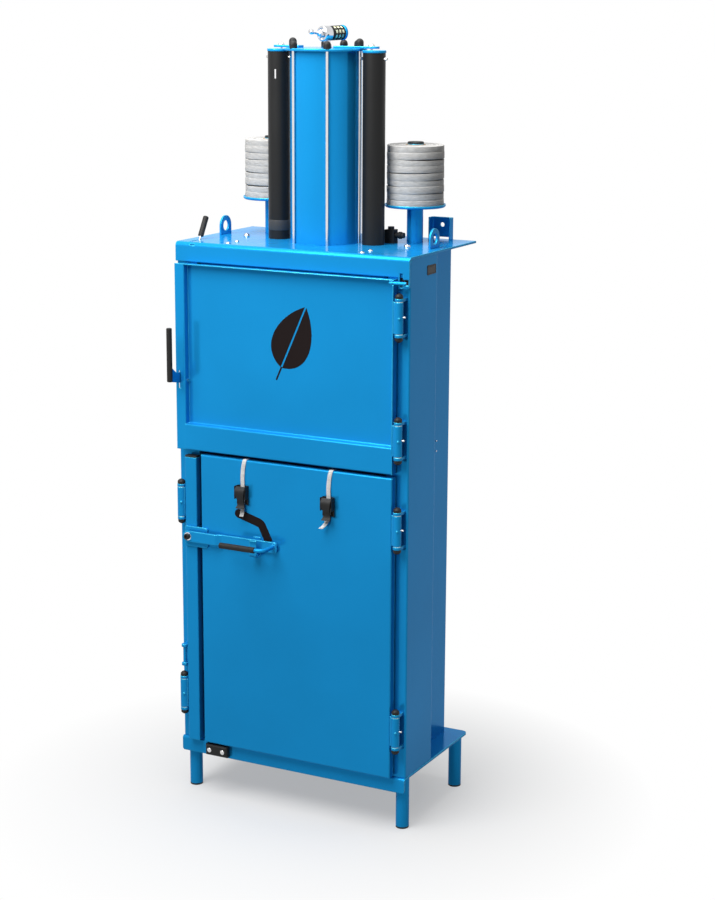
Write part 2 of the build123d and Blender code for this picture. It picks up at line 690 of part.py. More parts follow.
def exhaust_silencer():
    """Chrome body on a stub, with a slotted cage behind it and a hose nipple in front."""
    body = post(0, 0, 0, SILENCER_BODY, SILENCER_RADIUS)
    body = chamfer(body.edges(), SILENCER_CHAMFER)
    cage_start = SILENCER_BODY
    cage = post(0, 0, cage_start, cage_start + SILENCER_CAGE, SILENCER_CAGE_RADIUS)
    ring_start = cage_start + SILENCER_CAGE
    ring = post(0, 0, ring_start, ring_start + SILENCER_RING, SILENCER_RADIUS)
    ring = chamfer(ring.edges(), SILENCER_CHAMFER)
    nipple = turned(
        (
            (0, 0), (NIPPLE_ROOT, 0), (NIPPLE_ROOT, -9), (NIPPLE_NECK, -11), (NIPPLE_NECK, -25),
            (NIPPLE_BARB, -28), (NIPPLE_BARB, -38), (NIPPLE_NECK, -NIPPLE_LENGTH + 2),
            (NIPPLE_TIP, -NIPPLE_LENGTH), (0, -NIPPLE_LENGTH),
        )
    )
    lay_down = Pos(SILENCER_X, SILENCER_Y, SILENCER_AXIS) * Rot(0, 0, -SILENCER_TURN) * Rot(-90, 0, 0)
    along = lay_down * Pos(0, 0, -SILENCER_FRONT)
    stub = post(SILENCER_X, SILENCER_Y, CAP_TOP, SILENCER_AXIS, SILENCER_STUB)
    nut = Pos(SILENCER_X, SILENCER_Y, CAP_TOP) * RegularPolygon(SILENCER_NUT, 6)
    stub += extrude(nut, amount=SILENCER_NUT_HEIGHT)
    chrome = along * (body + nipple) + stub
    return [chrome, along * cage, along * ring]


def roll_post(x, y):
    outer = post(x, y, HEAD_TOP, POST_TOP, POST_RADIUS)
    return outer - post(x, y, HEAD_TOP - 1, POST_TOP + 1, POST_RADIUS - POST_WALL)


def post_cap(x, y):
    plug = POST_RADIUS - POST_WALL - FIT
    profile = (
        (0, -12), (plug, -12), (plug, 0), (POST_RADIUS, 0),
        (POST_RADIUS, POST_CAP - 2), (POST_RADIUS - 2, POST_CAP), (0, POST_CAP),
    )
    return Pos(x, y, POST_TOP) * turned(profile)


def roll_dish(x, y):
    """A shallow dish with an upturned rim, welded round its post."""
    inner = POST_RADIUS + FIT
    rim = DISH_RADIUS - SHEET
    profile = (
        (inner, 0), (rim, 0), (DISH_RADIUS, SHEET), (DISH_RADIUS, DISH_RIM),
        (rim, DISH_RIM), (rim, SHEET), (inner, SHEET),
    )
    return Pos(x, y, DISH_FLOOR) * turned(profile)


def strapping_roll(x, y):
    """A wound roll of strapping and the card core that it is wound on."""
    low = DISH_FLOOR + SHEET + SEAT_GAP
    core = post(x, y, low, ROLL_TOP, CORE_OUTER) - post(x, y, low - 1, ROLL_TOP + 1, CORE_INNER)
    wound = post(x, y, low, ROLL_TOP, ROLL_RADIUS)
    wound = chamfer(wound.edges(), 1.5)
    wound -= post(x, y, low - 1, ROLL_TOP + 1, CORE_OUTER + FIT)
    return [wound, core]


def lifting_eye(side):
    face = Plane.YZ.offset(side * EYE_X - EYE_THICK / 2)
    base = Rectangle(2 * EYE_RADIUS, EYE_Z - HEAD_TOP, align=(Align.CENTER, Align.MAX))
    below = Rectangle(3 * EYE_RADIUS, EYE_RADIUS, align=(Align.CENTER, Align.MAX))
    outline = Circle(EYE_RADIUS) + base - Circle(EYE_HOLE) - Pos(0, HEAD_TOP - EYE_Z) * below
    return extrude(face * Pos(EYE_Y, EYE_Z) * outline, amount=EYE_THICK)


def wall_bracket(side):
    """An upright channel at the back edge, open to the front, with one bolt hole."""
    left = side * BRACKET_X - BRACKET_WIDTH / 2
    front = HEAD_BACK - BRACKET_DEPTH
    points = (
        (left, front), (left, HEAD_BACK), (left + BRACKET_WIDTH, HEAD_BACK),
        (left + BRACKET_WIDTH, front),
    )
    start = Plane.XY.offset(HEAD_TOP)
    part = folded_sheet(points, BRACKET_SHEET, BRACKET_SHEET + 1, Side.RIGHT, start, BRACKET_HEIGHT)
    inset = BRACKET_SHEET + 2
    part -= block(
        left + inset, left + BRACKET_WIDTH - inset, HEAD_BACK - inset, HEAD_BACK + 1,
        HEAD_TOP - 1, HEAD_TOP + BRACKET_GAP,
    )
    return part - bar_y(side * BRACKET_X, front, HEAD_BACK + 1, HEAD_TOP + BRACKET_HOLE_UP, BRACKET_HOLE)


def air_regulator():
    half = REGULATOR_SIZE / 2
    low = HEAD_TOP
    body = block(
        REGULATOR_X - half, REGULATOR_X + half, REGULATOR_Y - half, REGULATOR_Y + half,
        low, low + REGULATOR_HEIGHT,
    )
    body = chamfer(body.edges().filter_by(Axis.Z), REGULATOR_CHAMFER)
    top = low + REGULATOR_HEIGHT
    knob = post(REGULATOR_X, REGULATOR_Y, top, top + KNOB_HEIGHT, KNOB_RADIUS)
    side = REGULATOR_X + half
    inlet = bar_x(side, side + INLET_LENGTH, REGULATOR_Y, low + INLET_RISE, INLET_RADIUS)
    collar = side + COLLAR_OUT
    inlet += bar_x(collar, collar + COLLAR_WIDTH, REGULATOR_Y, low + INLET_RISE, COLLAR_RADIUS)
    return [body, knob, inlet]


def control_valve():
    """The valve under the top plate with the two cheeks and the pin that carry the lever."""
    gap = LEVER_HUB_WIDTH / 2 + 1
    low = LEVER_Z - LEVER_HUB - VALVE_GAP
    front = LEVER_Y - VALVE_HALF_DEPTH
    back = LEVER_Y + VALVE_HALF_DEPTH
    body = block(LEVER_X - VALVE_LEFT, LEVER_X + VALVE_RIGHT, front, back, low - VALVE_HEIGHT, low)
    half = VALVE_HALF_DEPTH / 2
    for x0 in (LEVER_X - gap - VALVE_CHEEK, LEVER_X + gap):
        body += block(x0, x0 + VALVE_CHEEK, LEVER_Y - half, LEVER_Y + half, low, HEAD_UNDER)
    reach = gap + VALVE_CHEEK
    body -= bar_x(LEVER_X - reach - 1, LEVER_X + reach + 1, LEVER_Y, LEVER_Z, LEVER_PIN + FIT)
    pin = bar_x(LEVER_X - reach, LEVER_X + reach, LEVER_Y, LEVER_Z, LEVER_PIN)
    return [body, pin]


def control_lever():
    half = LEVER_HUB_WIDTH / 2
    hub = bar_x(-half, half, 0, 0, LEVER_HUB)
    rod = post(0, 0, 0, LEVER_GRIP_START + LEVER_GRIP_LENGTH - 4, LEVER_ROD)
    arm = Rot(-LEVER_LEAN, 0, 0) * (hub + rod)
    arm -= bar_x(-half - 1, half + 1, 0, 0, LEVER_PIN + RUNNING_FIT)
    return Pos(LEVER_X, LEVER_Y, LEVER_Z) * arm


def control_lever_grip():
    grip = post(0, 0, LEVER_GRIP_START, LEVER_GRIP_START + LEVER_GRIP_LENGTH, LEVER_GRIP_RADIUS)
    grip = fillet(grip.edges().group_by(Axis.Z)[-1], 3)
    grip -= post(0, 0, 0, LEVER_GRIP_START + LEVER_GRIP_LENGTH - 4 + FIT, LEVER_ROD + FIT)
    return Pos(LEVER_X, LEVER_Y, LEVER_Z) * Rot(-LEVER_LEAN, 0, 0) * grip


def hinge_ears(side, z):
    """Two ears welded to the column, one above and one below the barrel."""
    ears = []
    for low in (z + EAR_START, z - EAR_START - EAR_THICK):
        plan = Pos(side * HINGE_X, HINGE_Y) * Circle(BARREL_RADIUS)
        reach = COLUMN_FRONT - HINGE_Y
        plan += Pos(side * HINGE_X, HINGE_Y + reach / 2) * Rectangle(2 * BARREL_RADIUS, reach)
        plan -= Pos(side * HINGE_X, HINGE_Y) * Circle(HINGE_BOLT + FIT)
        ears.append(Pos(0, 0, low) * extrude(plan, amount=EAR_THICK))
    return ears


def hinge_bolt(side, z):
    """The bolt through one hinge and the two washers on the ears."""
    reach = EAR_START + EAR_THICK + HINGE_CAP_HOLE
    x = side * HINGE_X
    bolt = post(x, HINGE_Y, z - reach, z + reach, HINGE_BOLT)
    parts = [bolt]
    for low in (z + EAR_START - WASHER_THICK, z - EAR_START):
        washer = post(x, HINGE_Y, low, low + WASHER_THICK, WASHER_RADIUS)
        parts.append(washer - post(x, HINGE_Y, low - 1, low + 3, PIN_HOLE))
    return parts


def hinge_cap_pair(side, z):
    cap = domed(HINGE_CAP_RADIUS, HINGE_CAP_HEIGHT, HINGE_CAP_HEIGHT * 0.5)
    cap -= post(0, 0, -1, HINGE_CAP_HOLE + FIT, HINGE_BOLT + FIT)
    reach = EAR_START + EAR_THICK
    place = Pos(side * HINGE_X, HINGE_Y, z)
    return [place * Pos(0, 0, reach) * cap, place * Rot(180, 0, 0) * Pos(0, 0, reach) * cap]


def hinge_barrel(side, z, carrier_x):
    """A barrel and the leaf that joins it to its door, with a grease nipple."""
    x = side * HINGE_X
    barrel = post(x, HINGE_Y, z - BARREL_HALF, z + BARREL_HALF, BARREL_RADIUS)
    near, far = sorted((carrier_x, x))
    leaf = block(
        near, far, HINGE_Y - LEAF_THICK / 2, HINGE_Y + LEAF_THICK / 2, z - BARREL_HALF, z + BARREL_HALF
    )
    nipple = Pos(x, HINGE_Y, z) * Rot(0, 0, 25) * bar_y(0, -BARREL_RADIUS - 4, 0, 0, GREASE_NIPPLE)
    return barrel + leaf + nipple - post(x, HINGE_Y, z - 60, z + 60, PIN_HOLE)


def upper_door():
    """A folded tray: recessed panel, top flange, box rail at the bottom, stile at the left."""
    rail_top = UPPER_LOW + RAIL_HEIGHT
    front = DOOR_FRONT
    recess = DOOR_BACK - SHEET
    points = (
        (front, UPPER_HIGH - SHEET), (recess, UPPER_HIGH - SHEET), (recess, rail_top),
        (front, rail_top), (front, UPPER_LOW), (DOOR_BACK, UPPER_LOW),
    )
    left = STILE_RIGHT - SHEET
    start = Plane.YZ.offset(left)
    part = folded_sheet(points, SHEET, DOOR_BEND, Side.LEFT, start, DOOR_RIGHT - left)
    stile_points = ((UPPER_LEFT, front), (STILE_RIGHT, front), (STILE_RIGHT, DOOR_BACK))
    low = Plane.XY.offset(UPPER_LOW)
    part += folded_sheet(stile_points, SHEET, DOOR_BEND, Side.LEFT, low, UPPER_HIGH - UPPER_LOW)
    part += block(DOOR_RIGHT - SHEET, DOOR_RIGHT, front, DOOR_BACK, UPPER_LOW, UPPER_HIGH)
    half = LATCH_SLOT_WIDTH / 2
    part -= block(
        LATCH_X - half, LATCH_X + half, front - 1, front + SHEET + 1, LATCH_SLOT_LOW, LATCH_SLOT_HIGH
    )
    part -= bar_x(STILE_RIGHT - 2 * SHEET, STILE_RIGHT + 1, LATCH_Y, LATCH_Z, LATCH_PIN + FIT)
    part -= bar_x(DOOR_RIGHT - 2 * SHEET, DOOR_RIGHT + 1, HINGE_Y, ROD_Z, INTERLOCK_RADIUS + FIT)
    return part


def interlock_rod():
    """A rod through the door's right flange with a collar each side."""
    inside = DOOR_RIGHT - SHEET
    rod = bar_x(inside - INTERLOCK_INSIDE, ROD_END, HINGE_Y, ROD_Z, INTERLOCK_RADIUS)
    return rod + bar_x(inside - INTERLOCK_COLLAR_LENGTH, inside, HINGE_Y, ROD_Z, INTERLOCK_COLLAR)


def latch_pin():
    """The pivot pin of the latch handle, with its head inside the tray."""
    pin = bar_x(LATCH_X - LATCH_THICK, STILE_RIGHT, LATCH_Y, LATCH_Z, LATCH_PIN)
    return pin + bar_x(STILE_RIGHT, STILE_RIGHT + LATCH_PIN_HEAD, LATCH_Y - 1, LATCH_Z, LATCH_PIN)


def latch_plate():
    """The handle's plate: hub on the pin, arm through the slot, tail up behind the stile."""
    start = Plane.YZ.offset(LATCH_X - LATCH_THICK / 2)
    grip_y = LATCH_GRIP_Y - LATCH_Y
    grip_low = LATCH_GRIP_LOW - LATCH_Z
    arm = Polyline(
        (2, -LATCH_HUB + 0.5), (grip_y, grip_low), (grip_y, grip_low + LATCH_PLATE_HEIGHT), (-34, 26),
        (-12, 24), (0, LATCH_HUB), close=True,
    )
    outline = Circle(LATCH_HUB) + make_face(arm) - Circle(LATCH_PIN + RUNNING_FIT)
    return extrude(start * Pos(LATCH_Y, LATCH_Z) * outline, amount=LATCH_THICK)


def latch_grip():
    grip = post(LATCH_X, LATCH_GRIP_Y, LATCH_GRIP_LOW, LATCH_GRIP_HIGH, LATCH_GRIP_RADIUS)
    grip = fillet(grip.edges(), 3)
    half = LATCH_THICK / 2 + FIT
    return grip - block(
        LATCH_X - half, LATCH_X + half, LATCH_GRIP_Y - FIT, LATCH_GRIP_Y + 2 * LATCH_GRIP_RADIUS,
        LATCH_GRIP_LOW - 1, LATCH_GRIP_LOW + LATCH_PLATE_HEIGHT + FIT,
    )


def latch_striker():
    """A wear plate on the left column, behind the latch."""
    return block(
        LATCH_X - STRIKER_HALF_WIDTH, LATCH_X + STRIKER_HALF_WIDTH, COLUMN_FRONT - STRIKER_THICK,
        COLUMN_FRONT, LATCH_Z - STRIKER_HALF_HEIGHT, LATCH_Z + STRIKER_HALF_HEIGHT,
    )


def lower_door_pan():
    """The door's front skin, folded back on all four sides."""
    back = DOOR_BACK - SHEET
    outer = block(LOWER_LEFT, DOOR_RIGHT, DOOR_FRONT, back, LOWER_LOW, LOWER_HIGH)
    outer = fillet(outer.faces().sort_by(Axis.Y)[0].edges(), DOOR_BEND)
    hollow = block(
        LOWER_LEFT + SHEET, DOOR_RIGHT - SHEET, DOOR_FRONT + SHEET, back + 1,
        LOWER_LOW + SHEET, LOWER_HIGH - SHEET,
    )
    return outer - hollow


def lower_door_liner():
    """The door's inner skin, with an upright groove for each strap."""
    points = [(LOWER_LEFT, DOOR_BACK)]
    for x in GROOVES:
        left = x - GROOVE_WIDTH / 2
        right = x + GROOVE_WIDTH / 2
        points += [
            (left, DOOR_BACK), (left, DOOR_BACK - GROOVE_DEPTH),
            (right, DOOR_BACK - GROOVE_DEPTH), (right, DOOR_BACK),
        ]
    points.append((DOOR_RIGHT, DOOR_BACK))
    low = Plane.XY.offset(LOWER_LOW + SHEET)
    height = LOWER_HIGH - LOWER_LOW - 2 * SHEET
    return folded_sheet(points, SHEET, SHEET + 0.5, Side.RIGHT, low, height)


def lock_bar():
    width = BAR_WIDTH
    depth = DOOR_BACK - BAR_FRONT
    section = RectangleRounded(width, depth, BAR_CORNER)
    section -= RectangleRounded(width - 2 * SHEET, depth - 2 * SHEET, BAR_CORNER - SHEET)
    middle = Pos(BAR_LEFT + width / 2, BAR_FRONT + depth / 2, BAR_LOW)
    return middle * extrude(section, amount=BAR_HIGH - BAR_LOW)


def lock_tongue():
    plate = block(TONGUE_LEFT, TONGUE_RIGHT, TONGUE_FRONT, DOOR_FRONT, TONGUE_LOW, TONGUE_HIGH)
    plate = fillet(plate.edges().filter_by(Axis.Y), TONGUE_CORNER)
    return plate - bar_y(PIVOT_X, TONGUE_FRONT - 1, DOOR_FRONT + 1, PIVOT_Z, PIVOT_RADIUS + FIT)


def lock_pivot_bolt():
    """A socket head bolt through the lever arm, and the spacer between arm and tongue."""
    head_front = ARM_LEFT_FRONT - PIVOT_HEAD_DEPTH - SEAT_GAP
    bolt = bar_y(PIVOT_X, ARM_LEFT_FRONT - SEAT_GAP, DOOR_FRONT - 1, PIVOT_Z, PIVOT_RADIUS)
    head = bar_y(PIVOT_X, head_front, ARM_LEFT_FRONT - SEAT_GAP, PIVOT_Z, PIVOT_HEAD)
    head = chamfer(head.edges(), 1)
    head -= bar_y(PIVOT_X, head_front - 1, head_front + PIVOT_SOCKET_DEPTH, PIVOT_Z, PIVOT_RADIUS)
    spacer = bar_y(PIVOT_X, ARM_LEFT_FRONT + ARM_BAR + SEAT_GAP, TONGUE_FRONT, PIVOT_Z, PIVOT_HEAD + 1)
    spacer -= bar_y(PIVOT_X, ARM_LEFT_FRONT, TONGUE_FRONT + 1, PIVOT_Z, PIVOT_RADIUS + FIT)
    return [bolt + head, spacer]


def lock_lever():
    """A flat arm with a jog, and the cranked rod that is welded to its end."""
    points = (
        (ARM_LEFT, ARM_LEFT_FRONT), (ARM_JOG_LEFT, ARM_LEFT_FRONT),
        (ARM_JOG_RIGHT, ARM_RIGHT_FRONT), (ARM_RIGHT, ARM_RIGHT_FRONT),
    )
    low = Plane.XY.offset(PIVOT_Z - ARM_HEIGHT / 2)
    arm = folded_sheet(points, ARM_BAR, ARM_BAR + 2, Side.LEFT, low, ARM_HEIGHT)
    arm = round_corners(arm, Axis.Y, ARM_HEIGHT / 2 - 1, lambda e: e.center().X < ARM_LEFT + 1)
    arm = round_corners(arm, Axis.Y, ARM_END_CORNER, lambda e: e.center().X > ARM_RIGHT - 1)
    arm -= bar_y(PIVOT_X, ARM_LEFT_FRONT - 1, ARM_LEFT_FRONT + 8, PIVOT_Z, PIVOT_RADIUS + RUNNING_FIT)
    start = (CRANK_X, ARM_RIGHT_FRONT, CRANK_Z)
    end = (CRANK_GRIP_END + CRANK_GRIP_WALL, CRANK_Y, CRANK_Z)
    route = FilletPolyline(start, (CRANK_X, CRANK_Y, CRANK_Z), end, radius=CRANK_BEND)
    rod = sweep(Plane(origin=start, z_dir=(0, -1, 0)) * Circle(CRANK_RADIUS), path=route)
    return [arm, rod]


def crank_grip():
    grip = bar_x(CRANK_GRIP_END, CRANK_GRIP_START, CRANK_Y, CRANK_Z, CRANK_GRIP_RADIUS)
    grip = fillet(grip.edges(), CRANK_GRIP_WALL)
    end = CRANK_GRIP_END + CRANK_GRIP_WALL - FIT
    return grip - bar_x(end, 0, CRANK_Y, CRANK_Z, CRANK_RADIUS + FIT)


def lever_keeper():
    """A J shaped keeper on the door that the lever arm drops into."""
    points = (
        (DOOR_FRONT, KEEPER_BACK_TOP), (DOOR_FRONT, KEEPER_LOW),
        (KEEPER_FRONT, KEEPER_LOW), (KEEPER_FRONT, KEEPER_LIP),
    )
    start = Plane.YZ.offset(KEEPER_LEFT)
    return folded_sheet(points, SHEET, KEEPER_BEND, Side.RIGHT, start, KEEPER_WIDTH)


def buckle_body(x):
    """A folded channel with cheeks, and the pin across them."""
    half = BUCKLE_WIDTH / 2
    front = DOOR_FRONT - BUCKLE_DEPTH
    points = ((x - half, front), (x - half, DOOR_FRONT), (x + half, DOOR_FRONT), (x + half, front))
    low = Plane.XY.offset(BUCKLE_LOW)
    body = folded_sheet(points, BUCKLE_SHEET, BUCKLE_SHEET + 0.5, Side.RIGHT, low, BUCKLE_HIGH - BUCKLE_LOW)
    cheek_back = DOOR_FRONT - BUCKLE_STEP_DEPTH
    body -= block(x - half - 1, x + half + 1, front - 1, cheek_back, BUCKLE_LOW - 1, BUCKLE_LOW + BUCKLE_STEP)
    body -= bar_x(x - half - 1, x + half + 1, BUCKLE_PIN_Y, BUCKLE_PIN_Z, BUCKLE_PIN + FIT)
    pin = bar_x(x - half - 1, x + half + 1, BUCKLE_PIN_Y, BUCKLE_PIN_Z, BUCKLE_PIN)
    return [body, pin]


def buckle_flap(x):
    """The cam lever: a curved plate that narrows and then flares to a thumb tab."""
    half = BUCKLE_WIDTH / 2 - BUCKLE_SHEET - 1
    front = DOOR_FRONT - BUCKLE_DEPTH
    top = BUCKLE_HIGH - 1
    side_view = make_face(
        Spline(
            (front, top - 6), (front - 3, BUCKLE_PIN_Z - 14),
            (front + 6, FLAP_TAB_LOW + 16), (front - 2, FLAP_TAB_LOW),
        )
        + Line((front - 2, FLAP_TAB_LOW), (front + 1, FLAP_TAB_LOW - 0.5))
        + Spline(
            (front + 1, FLAP_TAB_LOW - 0.5), (front + 10, FLAP_TAB_LOW + 17),
            (front + 5, BUCKLE_PIN_Z - 14), (front + 8, BUCKLE_PIN_Z), (front + 6, top),
        )
        + Line((front + 6, top), (front, top - 6))
    )
    flap = extrude(Plane.YZ.offset(x - half) * side_view, amount=2 * half)
    flap += bar_x(x - half, x + half, BUCKLE_PIN_Y, BUCKLE_PIN_Z, 2 * BUCKLE_PIN)
    waist = half * 0.66
    front_view = Polyline(
        (x - half, top + 1), (x - half, BUCKLE_PIN_Z - 8), (x - waist, FLAP_TAB_LOW + 22),
        (x - waist, FLAP_TAB_LOW + 14), (x - half + 1, FLAP_TAB_LOW - 1),
        (x + half - 1, FLAP_TAB_LOW - 1), (x + waist, FLAP_TAB_LOW + 14),
        (x + waist, FLAP_TAB_LOW + 22), (x + half, BUCKLE_PIN_Z - 8), (x + half, top + 1), close=True,
    )
    flap &= extrude(Plane.XZ.offset(-DOOR_FRONT) * make_face(front_view), amount=2 * BUCKLE_DEPTH)
    return flap - bar_x(x - half - 1, x + half + 1, BUCKLE_PIN_Y, BUCKLE_PIN_Z, BUCKLE_PIN + RUNNING_FIT)


def strap(x):
    """Strapping through a buckle, up the door's face, over its top and down its groove."""
    face = DOOR_FRONT - SEAT_GAP - STRAP_THICK
    buckle_face = DOOR_FRONT - BUCKLE_SHEET - SEAT_GAP - STRAP_THICK
    top = LOWER_HIGH + SEAT_GAP + STRAP_THICK
    inside = DOOR_BACK - SHEET + SEAT_GAP + STRAP_THICK
    points = (
        (buckle_face, STRAP_TAIL), (buckle_face, BUCKLE_HIGH + 4), (face, BUCKLE_HIGH + 16),
        (face, top), (inside, top), (inside, STRAP_INSIDE_LOW),
    )
    start = Plane.YZ.offset(x - STRAP_WIDTH / 2)
    return folded_sheet(points, STRAP_THICK, STRAP_THICK + 0.3, Side.LEFT, start, STRAP_WIDTH)


def bar_catch_loop():
    """Two arms on the left column with an upright bar between them."""
    x = -HINGE_X
    parts = []
    for low in (LOOP_LOW, LOOP_LOW + LOOP_HEIGHT - LOOP_ARM):
        arm = block(x - LOOP_WIDTH / 2, x + LOOP_WIDTH / 2, LOOP_FRONT, COLUMN_FRONT, low, low + LOOP_ARM)
        arm = round_corners(arm, Axis.Z, LOOP_WIDTH / 2 - 1, lambda e: e.center().Y < LOOP_FRONT + 1)
        parts.append(arm)
    y = LOOP_FRONT + LOOP_WIDTH / 2
    parts.append(post(x, y, LOOP_LOW + LOOP_ARM, LOOP_LOW + LOOP_HEIGHT - LOOP_ARM, LOOP_BAR))
    return parts


def stop_block():
    right = BLOCK_LEFT + BLOCK_WIDTH
    part = block(BLOCK_LEFT, right, -BLOCK_DEPTH, 0, BLOCK_LOW, BLOCK_LOW + BLOCK_HEIGHT)
    return chamfer(part.faces().sort_by(Axis.Y)[0].edges(), BLOCK_CHAMFER)


def block_screw(x):
    z = BLOCK_LOW + BLOCK_HEIGHT / 2
    return Pos(x, -BLOCK_DEPTH, z) * Rot(90, 0, 0) * domed(SCREW_RADIUS, SCREW_DOME, 2.0)


def interlock_valve():
    """The switch valve inside the right column, worked by the rod's end as the door opens."""
    back = COLUMN_FRONT + SHEET
    right = BODY_HALF - COLUMN_BEND
    low = ROD_Z - INTERLOCK_VALVE_HALF
    high = ROD_Z + INTERLOCK_VALVE_HALF
    body = block(TAB_LEFT - INTERLOCK_VALVE_INSET, right, back, back + INTERLOCK_VALVE_DEPTH, low, high)
    return body + bar_y(HINGE_X + PLUNGER_ASIDE, COLUMN_FRONT - 1, back, ROD_Z, PLUNGER_RADIUS)


def add(name, parts):
    """Keep one piece, or a group of separate ones, under its name."""
    pieces[name] = parts if isinstance(parts, list) else [parts]


add("base_plate", base_plate())
leg_places = [(x, y) for x in (-LEG_X, LEG_X) for y in (LEG_FRONT_Y, LEG_BACK_Y)]
add("legs", [leg(x, y) for x, y in leg_places])
add("leg_feet", [leg_foot(x, y) for x, y in leg_places])

plain_column = right_column()
add("left_column", mirror(plain_column, about=Plane.YZ))
add("right_column", plain_column - interlock_window())
add("chamber_shell", chamber_shell())
add("top_plate", top_plate())

add("cylinder_tube", cylinder_tube())
add("cylinder_lower_head", cylinder_lower_head())
add("cylinder_cap", cylinder_cap())
add("tie_rods", [tie_rod(x, y) for x, y in TIE_PLACES])
add("tie_rod_nuts", [tie_rod_nut(x, y) for x, y in TIE_PLACES])
add("piston", piston())
add("piston_rod", piston_rod())
add("platen", platen())
add("guide_rods", [guide_rod(x, y) for x, y in GUIDE_PLACES])
add("guide_tube_left", guide_tube(*GUIDE_PLACES[0]) - sight_slot())
add("guide_tube_right", guide_tube(*GUIDE_PLACES[1]))
add("guide_caps", [guide_cap(x, y) for x, y in GUIDE_PLACES])
left_arm = mirror(cap_arm(LEFT_ARM_IN, ARM_OUT), about=Plane.YZ)
add("cap_arms", [left_arm, cap_arm(RIGHT_ARM_IN, ARM_OUT)])
add("exhaust_silencer", exhaust_silencer())

add("roll_posts", [roll_post(x, y) for x, y in POST_PLACES])
add("post_caps", [post_cap(x, y) for x, y in POST_PLACES])
add("roll_dishes", [roll_dish(x, y) for x, y in POST_PLACES])
add("strapping_roll_left", strapping_roll(*POST_PLACES[0]))
add("strapping_roll_right", strapping_roll(*POST_PLACES[1]))

add("lifting_eyes", [lifting_eye(side) for side in (-1, 1)])
add("wall_brackets", [wall_bracket(side) for side in (-1, 1)])
add("air_regulator", air_regulator())
add("control_valve", control_valve())
add("control_lever", control_lever())
add("control_lever_grip", control_lever_grip())

top_screws = [screw(x, y, HEAD_TOP, SCREW_RADIUS, SCREW_DOME, PLATE) for x, y in SCREWS]
for x, y in LARGE_SCREWS:
    top_screws.append(screw(x, y, HEAD_TOP, LARGE_SCREW_RADIUS, LARGE_SCREW_DOME, PLATE))
top_screws += [arm_screw(side) for side in (-1, 1)]
block_middle = BLOCK_LEFT + BLOCK_WIDTH / 2
top_screws += [block_screw(block_middle + side * BLOCK_SCREW_APART / 2) for side in (-1, 1)]
add("frame_screws", top_screws)

right_hinges = UPPER_HINGES + LOWER_HINGES
every_hinge = [(1, z) for z in right_hinges] + [(-1, z) for z in LOWER_HINGES]
add("hinge_ears", [ear for side, z in every_hinge for ear in hinge_ears(side, z)])
add("hinge_bolts", [part for side, z in every_hinge for part in hinge_bolt(side, z)])
add("hinge_caps", [cap for side, z in every_hinge for cap in hinge_cap_pair(side, z)])
add("upper_door_barrels", [hinge_barrel(1, z, DOOR_RIGHT) for z in UPPER_HINGES])
add("lower_door_barrels", [hinge_barrel(1, z, DOOR_RIGHT) for z in LOWER_HINGES])
add("lock_bar_barrels", [hinge_barrel(-1, z, BAR_LEFT) for z in LOWER_HINGES])

add("upper_door", upper_door())
add("interlock_rod", interlock_rod())
add("latch_pin", latch_pin())
add("latch_plate", latch_plate())
add("latch_grip", latch_grip())
add("latch_striker", latch_striker())

add("lower_door_pan", lower_door_pan())
add("lower_door_liner", lower_door_liner())
add("lock_bar", lock_bar())
add("lock_tongue", lock_tongue())
add("lock_pivot_bolt", lock_pivot_bolt())
add("lock_lever", lock_lever())
add("crank_grip", crank_grip())
add("lever_keeper", lever_keeper())
add("buckle_bodies", [part for x in BUCKLES for part in buckle_body(x)])
add("buckle_flap_left", buckle_flap(BUCKLES[0]))
add("buckle_flap_right", buckle_flap(BUCKLES[1]))
add("strapping_in_buckles", [strap(x) for x in BUCKLES])

add("bar_catch_loop", bar_catch_loop())
add("stop_block", stop_block())
add("interlock_valve", interlock_valve())

boxes = [part.bounding_box() for parts in pieces.values() for part in parts]
middle_x = (min(b.min.X for b in boxes) + max(b.max.X for b in boxes)) / 2
middle_y = (min(b.min.Y for b in boxes) + max(b.max.Y for b in boxes)) / 2
floor_z = min(b.min.Z for b in boxes)
print("shift", round(-middle_x, 4), round(-middle_y, 4), round(-floor_z, 4), "nodes", len(pieces))
shift = Pos(-middle_x, -middle_y, -floor_z)
for name, parts in pieces.items():
    solids = [solid for part in parts for solid in (shift * part).solids()]
    node = solids[0] if len(solids) == 1 else Compound(solids)
    export_step(node, os.path.join("parts", name + ".step"))
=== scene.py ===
"""Looks of the recycling baler: paint, steel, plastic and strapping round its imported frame."""
import math

import bpy
from mathutils import Matrix, Vector


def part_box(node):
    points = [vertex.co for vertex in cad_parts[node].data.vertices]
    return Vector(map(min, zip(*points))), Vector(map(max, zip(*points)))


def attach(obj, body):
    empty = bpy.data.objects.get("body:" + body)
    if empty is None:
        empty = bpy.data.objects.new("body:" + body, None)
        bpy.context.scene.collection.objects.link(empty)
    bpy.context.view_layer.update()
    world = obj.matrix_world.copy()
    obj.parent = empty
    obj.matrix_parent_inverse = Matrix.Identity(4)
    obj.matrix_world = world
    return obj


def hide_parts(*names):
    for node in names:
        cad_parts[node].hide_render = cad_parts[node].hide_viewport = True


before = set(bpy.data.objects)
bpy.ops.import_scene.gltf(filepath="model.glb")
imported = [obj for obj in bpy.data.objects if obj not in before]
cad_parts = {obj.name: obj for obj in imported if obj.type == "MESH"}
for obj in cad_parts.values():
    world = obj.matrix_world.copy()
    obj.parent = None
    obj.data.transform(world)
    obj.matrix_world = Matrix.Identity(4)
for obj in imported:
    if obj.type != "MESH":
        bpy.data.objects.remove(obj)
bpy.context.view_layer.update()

# Millimetres in metres, and how far behind its own zero the machine's middle lies
MM = 0.001
MACHINE_MIDDLE = 166.75

# How nearly a face must point along an axis to count, and the sides of a round piece and of a nut
OUTWARD = 0.999
ROUND = 64
NUT_SIDES = 6

# The axes by number
ALONG_X = 0
ALONG_Z = 2

